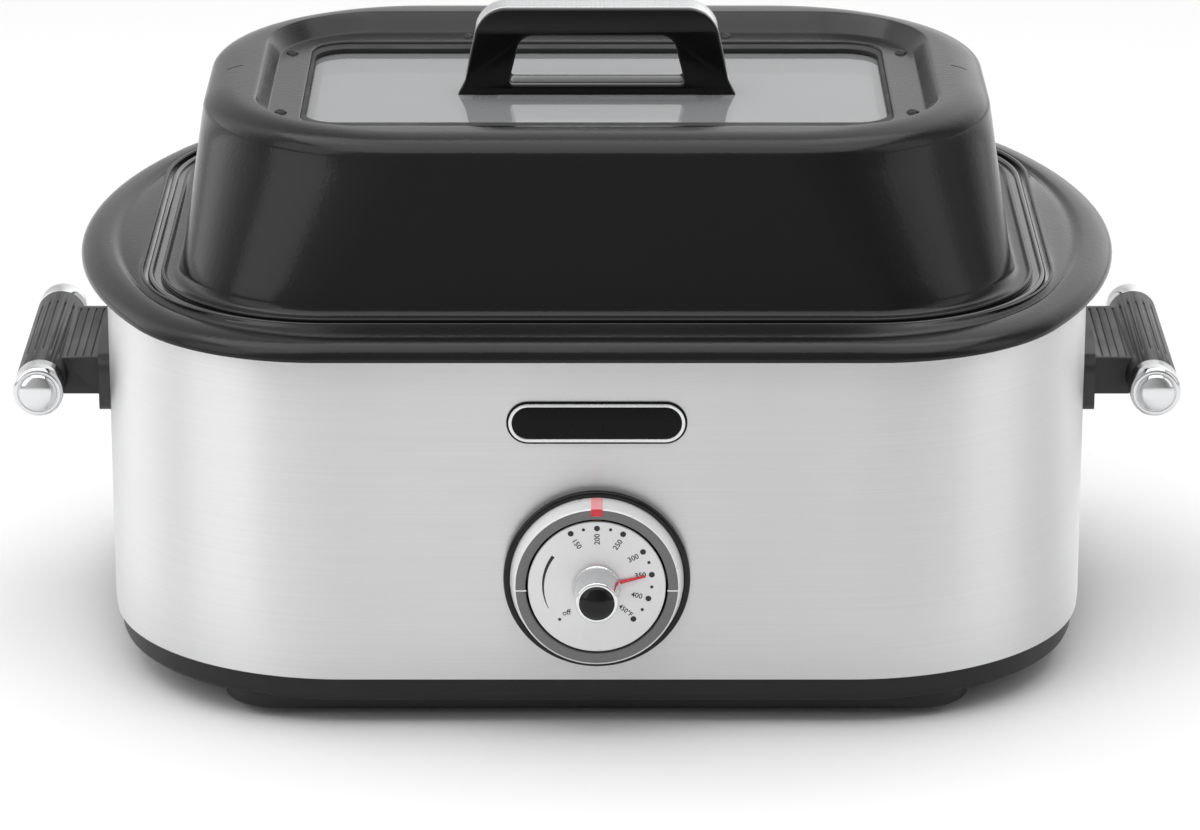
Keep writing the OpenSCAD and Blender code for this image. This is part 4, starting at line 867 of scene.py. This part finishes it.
def handle_outline(t=0.0):
    """The bow of the handle seen from the front, moved in by t."""
    tall = HANDLE_HIGH.z - HANDLE_LOW.z
    foot, top, knee, r = 74.0, 64.0, 8.0, 17.0
    slope = (foot - 4 - top) / (tall - knee)
    right = [(foot - t, 0.0), (foot - 2 - t, 4.0), (foot - 4 - t, knee)]
    right += [(x, y) for x, y in arc(top - r + slope * r * 0.4, tall - r, r - t, 6, 90, 14)]
    return right + [(-x, y) for x, y in reversed(right)]


def handle_window(t=0.0):
    """The finger gap of the handle, made smaller by t."""
    tall = HANDLE_HIGH.z - HANDLE_LOW.z
    low, base, r = 46.5 - t, 5.5 + t, 9.0 - t
    top = tall - 14.5 - t
    high = low - 4
    right = arc(low - 2.5, base + 2.5, 2.5, -90, 5, 5) + arc(high - r, top - r, r, 5, 90, 10)
    return [(-x, y) for x, y in reversed(right)] + right


class ROASTER_OT_lid_handle(bpy.types.Operator):
    """Bow handle: gloss black with a silver band over its back part"""

    bl_idname = "roaster.lid_handle"
    bl_label = "Lid Handle"

    def execute(self, context):
        z = HANDLE_LOW.z
        front, back = HANDLE_LOW.y, HANDLE_HIGH.y
        cut_plate(
            "handle_front", [handle_outline(), handle_window()], front, front + 5.5,
            "gloss_plastic", "lid", ("lid_handle",), ease=1.1, origin=(0, z),
        )
        cut_plate(
            "handle_core", [handle_outline(1.9), handle_window(0.1)], front + 5.3, back,
            "gloss_plastic", "lid", ease=0.7, origin=(0, z),
        )
        rim = handle_outline()
        inner = handle_outline(2.1)
        band = rim[2:-2] + list(reversed(inner[2:-2]))
        cut_plate(
            "handle_band", [band], front + 5.6, back - 0.1,
            "satin_silver", "lid", ("handle_trim",), ease=0.35, origin=(0, z),
        )
        dress("handle_screws", "zinc")
        dress("handle_washers", "rubber")
        return {"FINISHED"}


# ---------- side grips ----------


class ROASTER_OT_side_grips(bpy.types.Operator):
    """Black grips with grooves, and their bright ends"""

    bl_idname = "roaster.side_grips"
    bl_label = "Side Grips"

    def execute(self, context):
        for side in ("left", "right"):
            eased(side + "_handle", "grip_plastic", 0.25, segments=1)
            self.ends(side)
        return {"FINISHED"}

    def ends(self, side):
        low, high = node_box(side + "_handle_ends")
        x, z = (low.x + high.x) / 2, (low.z + high.z) / 2
        for index, turn in enumerate((1, -1)):
            tip = high.y
            start = 61.0
            profile = [(6.7, start - 6), (6.7, start), (13.2, start), (13.5, start + 0.3), (13.5, start + 13.0)]
            profile += arc(11.0, start + 13.5, 2.5, 10, 80, 7)
            profile += [(10.9, start + 15.9), (10.6, start + 15.4), (10.3, start + 15.4)]
            dome = tip - start - 15.4
            profile += [(10.3 * cos(radians(a)), start + 15.4 + dome * sin(radians(a))) for a in range(10, 90, 8)]
            profile += [(0.01, tip)]
            rings = [[(x + across, turn * y, z + up) for across, up in circle(r, 72)] for r, y in profile]
            bm = loft(rings, loop=False, capped=True)
            replaced = (side + "_handle_ends",) if index == 0 else ()
            settle(bm, "%s_end_%d" % (side, index), "chrome", "oven", replaced, crease=45)


# ---------- dial ----------


class ROASTER_OT_dial(bpy.types.Operator):
    """Bezel, silver drum, dark ring, scale plate, lens and index lines"""

    bl_idname = "roaster.dial"
    bl_label = "Dial"

    def turn(self, name, profile, shade_name, slot, replaced=(), body="oven", crease=34):
        return settle(loft(turned(profile, 0, DIAL_Z)), name, shade_name, body, replaced, crease)

    def execute(self, context):
        bezel = [(5, 0), (45.5, 0), (45.9, 0.6), (46.5, 1.5), (47.1, 2.5), (47.5, 3.4)]
        bezel += [(47.7 - 1.9 + x, 6.5 - 1.9 + y) for x, y in arc(0, 0, 1.9, 0, 92, 9)]
        bezel += [(45.0, 6.5), (44.5, 6.1), (44.4, 5.4), (44.4, 2), (5, 2)]
        self.turn("dial_bezel_ring", bezel, "gloss_plastic", "black_gloss", ("dial_bezel",))
        drum = [
            (42.3, 2), (44.25, 2), (44.25, 6.5), (44.1, 7.2), (42.1, 16.3), (41.9, 16.75), (41.6, 17.0),
            (41.3, 16.9), (41.3, 13), (38.2, 13), (38.2, 11.5), (39.6, 11.5),
        ]
        # The drum's near-white paint carries a painted reflection in place of chrome.
        self.turn("dial_drum_wall", drum, "drum_silver_and_sheen", "chrome", ("dial_drum",))
        ring = [(36.2, 13), (41.2, 13), (41.25, 16.85), (41.0, 17.0), (36.9, 17.0), (36.4, 16.8), (36.2, 16.3)]
        self.turn("dial_dark_ring", ring, "ring_plastic", "ring_grey", ("dial_ring",))
        plate = [
            (5.2, 5.6), (8, 5.6), (8, 2), (10, 2), (10, 14.6), (34.8, 14.6), (35, 14.9), (35, 16.3),
            (34.8, 16.65), (34.4, 16.8), (4, 16.8), (4, 14.6), (8, 14.6), (8, 7), (5.2, 7),
        ]
        self.turn("dial_scale_plate", plate, "plate_paint", "plate_grey", ("dial_plate",))
        self.lens()
        self.index_lines()
        dress("bushing_nut", "brass")
        dress("indicator_lamp", "lamp_glass")
        return {"FINISHED"}

    def lens(self):
        """The red lens laps over the drum's edge at the top; the part over the drum wears a paler pink copy of the
        red, a painted highlight.
        """
        width = 5.9
        side = [(44.45, 6.6), (41.95, 17.0), (41.2, 17.15), (40.9, 16.4), (43.4, 6.6)]
        front = [(41.95, 17.02), (41.85, 17.2), (38.2, 17.2), (38.2, 14.0), (41.6, 14.0)]
        for name, outline, shade_name, replaced in (
            ("lens_over_drum", side, "lens_painted_highlight", ("indicator_lens",)),
            ("lens_front", front, "red", ()),
        ):
            rings = []
            for i in range(9):
                x = width * (i / 8 - 0.5)
                rings.append([(x, FRONT - out, DIAL_Z + sqrt(r * r - x * x)) for r, out in outline])
            bm = loft(rings, loop=False, capped=True)
            settle(bm, name, shade_name, "oven", replaced)

    def index_lines(self):
        """White lines across the dark ring and the drum at both sides."""
        z, half = DIAL_Z - 2.0, 0.32
        for index, side in enumerate((1, -1)):
            outline = [
                (35.9, 17.05), (41.2, 17.05), (41.95, 16.9), (44.3, 6.7), (44.0, 6.7), (41.4, 16.6), (35.9, 16.6),
            ]
            rings = []
            for up in (z - half, z + half):
                rings.append([(side * sqrt(r * r - (up - DIAL_Z) ** 2), FRONT - out, up) for r, out in outline])
            bm = loft(rings, loop=False, capped=True)
            settle(bm, "index_line_%d" % index, "white_ink", "oven")


PLATE_OUT = 16.8
# Marks as seen in front of the plate: place across and up from its middle, in millimetres.
BIG_DOTS = [(-13.2, 28.8), (0.1, 31.6), (13.3, 28.5), (23.4, 19.0), (27.9, 6.7), (26.2, -6.2), (18.6, -17.3)]
SMALL_DOTS = [(-6.75, 30.9), (7.0, 30.9), (26.4, 13.3), (27.9, 0.1), (23.1, -12.2), (-18.9, -17.5)]
LABELS = [
    ("150", -10.2, 23.3, -54, 1.0), ("200", 0.25, 25.8, 90, 1.0), ("250", 10.7, 22.8, 57, 1.0),
    ("300", 18.5, 15.5, 27, 1.0), ("350", 22.1, 6.3, 6, 1.0), ("400", 20.3, -4.6, -12, 1.0),
    ("450°F", 14.6, -12.7, -40, 0.9), ("off", -15.4, -13.9, 9, 1.05),
]


class ROASTER_OT_scale_marks(bpy.types.Operator):
    """Dots, numbers and the tapered arc printed on the scale plate"""

    bl_idname = "roaster.scale_marks"
    bl_label = "Scale Marks"

    def execute(self, context):
        face = FRONT - PLATE_OUT
        for index, (x, z) in enumerate(BIG_DOTS + SMALL_DOTS):
            radius = 1.5 if index < len(BIG_DOTS) else 0.82
            cut_plate("scale_dot_%d" % index, [circle(radius, 32)], face - 0.08, face + 0.02, "ink", "oven",
                      ease=0.0, origin=(x, DIAL_Z + z))
        outer, inner = [], []
        for i in range(33):
            f = i / 32
            angle = radians(144 + 62 * f)
            wide = 1.5 * (1 - f) ** 0.8 + 0.25
            centre = 27.3
            outer.append(((centre + wide / 2) * cos(angle), 0.5 + (centre + wide / 2) * sin(angle)))
            inner.append(((centre - wide / 2) * cos(angle), 0.5 + (centre - wide / 2) * sin(angle)))
        sweep = outer + list(reversed(inner))
        cut_plate("scale_arc", [sweep], face - 0.08, face + 0.02, "ink", "oven",
                  ease=0.0, origin=(0, DIAL_Z))
        for index, (words, x, z, turn, scale) in enumerate(LABELS):
            self.label(index, words, x, z, turn, scale * sizes().digits / MM, face)
        return {"FINISHED"}

    def label(self, index, words, x, z, turn, tall, face):
        curve = bpy.data.curves.new("scale_label", "FONT")
        curve.body = words
        curve.size = tall
        curve.align_x = "CENTER"
        curve.align_y = "CENTER"
        curve.extrude = 0.05
        curve.offset = 0.045
        curve.resolution_u = 3
        bm = mesh_of(curve)
        stand_up(bm, x, face - 0.03, DIAL_Z + z, turn)
        settle(bm, "scale_label_%d" % index, "ink", "oven")


class ROASTER_OT_knob(bpy.types.Operator):
    """Chrome knob with its black cap and the red pointer"""

    bl_idname = "roaster.knob"
    bl_label = "Knob"

    def execute(self, context):
        start = 17.0
        length = 23.6
        hub = [(3, 1.1), (12.0, 1.1), (12.2, 1.3), (12.2, 1.9), (11.9, 2.3), (11.5, 2.8), (11.3, 4)]
        hub += [(11.3 - 0.5 * f, 4 + (length - 5.4) * f) for f in (0.25, 0.5, 0.75, 1.0)]
        hub += [(10.8 - 1.2 + x, length - 1.2 + y) for x, y in arc(0, 0, 1.2, 10, 90, 6)]
        hub += [(9.0, length), (8.85, length - 0.3), (8.8, length - 4), (3, length - 4)]
        profile = [(r, start + out) for r, out in hub]
        settle(loft(turned(profile, 0, DIAL_Z)), "knob_hub", "chrome", "knob", ("knob",), crease=40)

        bow = (8.8**2 + 3.6**2) / (2 * 3.6)
        cap = [(0.01, length - 4), (8.7, length - 4), (8.75, length)]
        span = asin(8.4 / bow)
        cap += [(bow * sin(span * (1 - i / 9)), length + 3.6 - bow + bow * cos(span * (1 - i / 9))) for i in range(9)]
        cap += [(0.01, length + 3.6)]
        profile = [(r, start + out) for r, out in cap]
        bm = loft(turned(profile, 0, DIAL_Z, steps=96), loop=False, capped=True)
        settle(bm, "knob_black_cap", "gloss_plastic", "knob", ("knob_cap",), crease=50)

        eased("pointer", "red", 0.15)
        dress("control_shaft", "zinc")
        return {"FINISHED"}


class ROASTER_OT_badge(bpy.types.Operator):
    """Bare badge: gloss black field in a silver rim"""

    bl_idname = "roaster.badge"
    bl_label = "Badge"

    def stadium(self, length, tall):
        r = tall / 2
        half = length / 2 - r
        right = arc(half, 0, r, -90, 90, 24)
        return right + [(-x, -y) for x, y in right]

    def execute(self, context):
        low, high = node_box("badge")
        length, tall = high.x - low.x, high.z - low.z
        z = (high.z + low.z) / 2
        cut_plate("badge_back", [self.stadium(length, tall)], FRONT - 0.8, FRONT, "deep_black", "oven",
                  ("badge",), ease=0.3, origin=(0, z))
        cut_plate("badge_field", [self.stadium(length - 5.5, tall - 5.5)], FRONT - 1.25, FRONT - 0.5, "deep_black",
                  "oven", ease=0.3, origin=(0, z))
        rim = [self.stadium(length - 2.2, tall - 2.2), self.stadium(length - 5.6, tall - 5.6)]
        cut_plate("badge_silver_rim", rim,
                  FRONT - 1.6, FRONT - 0.7, "satin_silver", "oven", ("badge_rim",), ease=0.3, origin=(0, z))
        return {"FINISHED"}


# ---------- stage ----------

# How bright the studio is all round, from the left over the front, the right and the back to the left again.
PANELS = [
    (0.0, 0.60), (0.02, 0.48), (0.06, 0.86), (0.16, 0.90), (0.25, 0.64), (0.34, 0.36), (0.455, 0.96), (0.51, 0.50),
    (0.56, 0.16), (0.63, 0.62), (0.68, 0.76), (0.72, 0.60), (0.79, 0.34), (0.85, 0.42), (0.92, 1.0), (0.97, 0.70),
    (1.0, 0.60),
]


class ROASTER_OT_stage(bpy.types.Operator):
    """Pale table, soft studio light and the camera"""

    bl_idname = "roaster.stage"
    bl_label = "Stage"

    def execute(self, context):
        self.table()
        self.world(context.scene)
        self.lamps()
        self.camera(context.scene)
        return {"FINISHED"}

    def table(self):
        bm = bmesh.new()
        bmesh.ops.create_grid(bm, x_segments=8, y_segments=8, size=12.0)
        mesh = bpy.data.meshes.new("table_top")
        bm.to_mesh(mesh)
        bm.free()
        top = bpy.data.objects.new("table_top", mesh)
        bpy.context.scene.collection.objects.link(top)
        cloth = Finish("table_white", (0.86, 0.86, 0.86), roughness=0.7)
        cloth.rough(cloth.noise(3.0), 0.65, 0.78)
        cloth.shader.inputs["Specular IOR Level"].default_value = 0.2
        mesh.materials.append(cloth.material)

    def world(self, scene):
        """A studio that is bright behind the object and has panels all round; the camera sees plain white."""
        world = bpy.data.worlds.new("studio")
        world.use_nodes = True
        nodes, links = world.node_tree.nodes, world.node_tree.links
        soft = nodes["Background"]
        places = nodes.new("ShaderNodeTexCoord")
        parts = nodes.new("ShaderNodeSeparateXYZ")
        links.new(places.outputs["Generated"], parts.inputs["Vector"])
        depth = nodes.new("ShaderNodeMapRange")
        depth.interpolation_type = "SMOOTHSTEP"
        for socket, value in (("From Min", -0.45), ("From Max", 0.7), ("To Min", 0.62), ("To Max", 1.9)):
            depth.inputs[socket].default_value = value
        links.new(parts.outputs["Y"], depth.inputs["Value"])
        links.new(depth.outputs["Result"], soft.inputs["Strength"])
        turn = nodes.new("ShaderNodeTexGradient")
        turn.gradient_type = "RADIAL"
        links.new(places.outputs["Generated"], turn.inputs["Vector"])
        panels = nodes.new("ShaderNodeValToRGB").color_ramp
        for _ in range(len(PANELS) - 2):
            panels.elements.new(0.5)
        for stop, (place, grey) in zip(panels.elements, PANELS):
            stop.position = place
            stop.color = (grey, grey, grey, 1.0)
        links.new(turn.outputs["Fac"], nodes["Color Ramp"].inputs["Fac"])
        links.new(nodes["Color Ramp"].outputs["Color"], soft.inputs["Color"])
        white = nodes.new("ShaderNodeBackground")
        white.inputs["Color"].default_value = (1.0, 1.0, 1.0, 1.0)
        white.inputs["Strength"].default_value = 1.0
        path = nodes.new("ShaderNodeLightPath")
        mix = nodes.new("ShaderNodeMixShader")
        links.new(path.outputs["Is Camera Ray"], mix.inputs["Fac"])
        links.new(soft.outputs["Background"], mix.inputs[1])
        links.new(white.outputs["Background"], mix.inputs[2])
        links.new(mix.outputs["Shader"], nodes["World Output"].inputs["Surface"])
        scene.world = world

    def lamps(self):
        strength = bpy.context.scene.roaster_stage.light
        for name, place, aim, size, watts in (
            ("overhead_softbox", (0.0, -0.2, 2.6), (0.0, 0.0, 0.1), (3.6, 3.0), 56.0),
            ("left_softbox", (-2.3, -1.2, 1.5), (0.0, 0.0, 0.15), (1.8, 2.2), 14.0),
            ("right_softbox", (2.4, -0.8, 1.3), (0.0, 0.0, 0.15), (1.4, 2.0), 5.0),
        ):
            lamp = bpy.data.lights.new(name, "AREA")
            lamp.shape = "RECTANGLE"
            lamp.size, lamp.size_y = size
            lamp.energy = watts * strength
            holder = bpy.data.objects.new(name, lamp)
            holder.location = place
            holder.rotation_euler = (Vector(aim) - Vector(place)).to_track_quat("-Z", "Y").to_euler()
            bpy.context.scene.collection.objects.link(holder)

    def camera(self, scene):
        stage = scene.roaster_stage
        lens = bpy.data.cameras.new("studio_camera")
        lens.sensor_fit = "HORIZONTAL"
        lens.sensor_width = 36.0
        lens.lens = stage.lens
        lens.shift_x = 3.2 / 1200
        lens.clip_end = 60.0
        camera = bpy.data.objects.new("studio_camera", lens)
        camera.location = (0.0, MIDDLE * MM - stage.distance, stage.height)
        camera.rotation_euler = (pi / 2 - stage.tilt, 0.0, 0.0)
        scene.collection.objects.link(camera)
        scene.camera = camera
        scene.view_settings.view_transform = "Standard"


class ROASTER_PT_panel(bpy.types.Panel):
    bl_idname = "ROASTER_PT_panel"
    bl_label = "Roaster Oven"
    bl_space_type = "VIEW_3D"
    bl_region_type = "UI"
    bl_category = "Roaster"

    def draw(self, context):
        layout = self.layout
        for group in (context.scene.roaster_sizes, context.scene.roaster_colours, context.scene.roaster_stage):
            box = layout.box()
            for name in group.__annotations__:
                box.prop(group, name)
        for step in STEPS:
            layout.operator(step.bl_idname)


STEPS = (
    ROASTER_OT_body,
    ROASTER_OT_pan,
    ROASTER_OT_lid,
    ROASTER_OT_lid_handle,
    ROASTER_OT_side_grips,
    ROASTER_OT_dial,
    ROASTER_OT_scale_marks,
    ROASTER_OT_knob,
    ROASTER_OT_badge,
    ROASTER_OT_stage,
)
GROUPS = (RoasterSizes, RoasterColours, RoasterStage)


def register():
    for cls in GROUPS + STEPS + (ROASTER_PT_panel,):
        bpy.utils.register_class(cls)
    bpy.types.Scene.roaster_sizes = bpy.props.PointerProperty(type=RoasterSizes)
    bpy.types.Scene.roaster_colours = bpy.props.PointerProperty(type=RoasterColours)
    bpy.types.Scene.roaster_stage = bpy.props.PointerProperty(type=RoasterStage)


def unregister():
    del bpy.types.Scene.roaster_stage
    del bpy.types.Scene.roaster_colours
    del bpy.types.Scene.roaster_sizes
    for cls in reversed(GROUPS + STEPS + (ROASTER_PT_panel,)):
        bpy.utils.unregister_class(cls)


def main():
    register()
    for step in STEPS:
        group, _, name = step.bl_idname.partition(".")
        getattr(getattr(bpy.ops, group), name)()


if __name__ == "__main__":
    main()
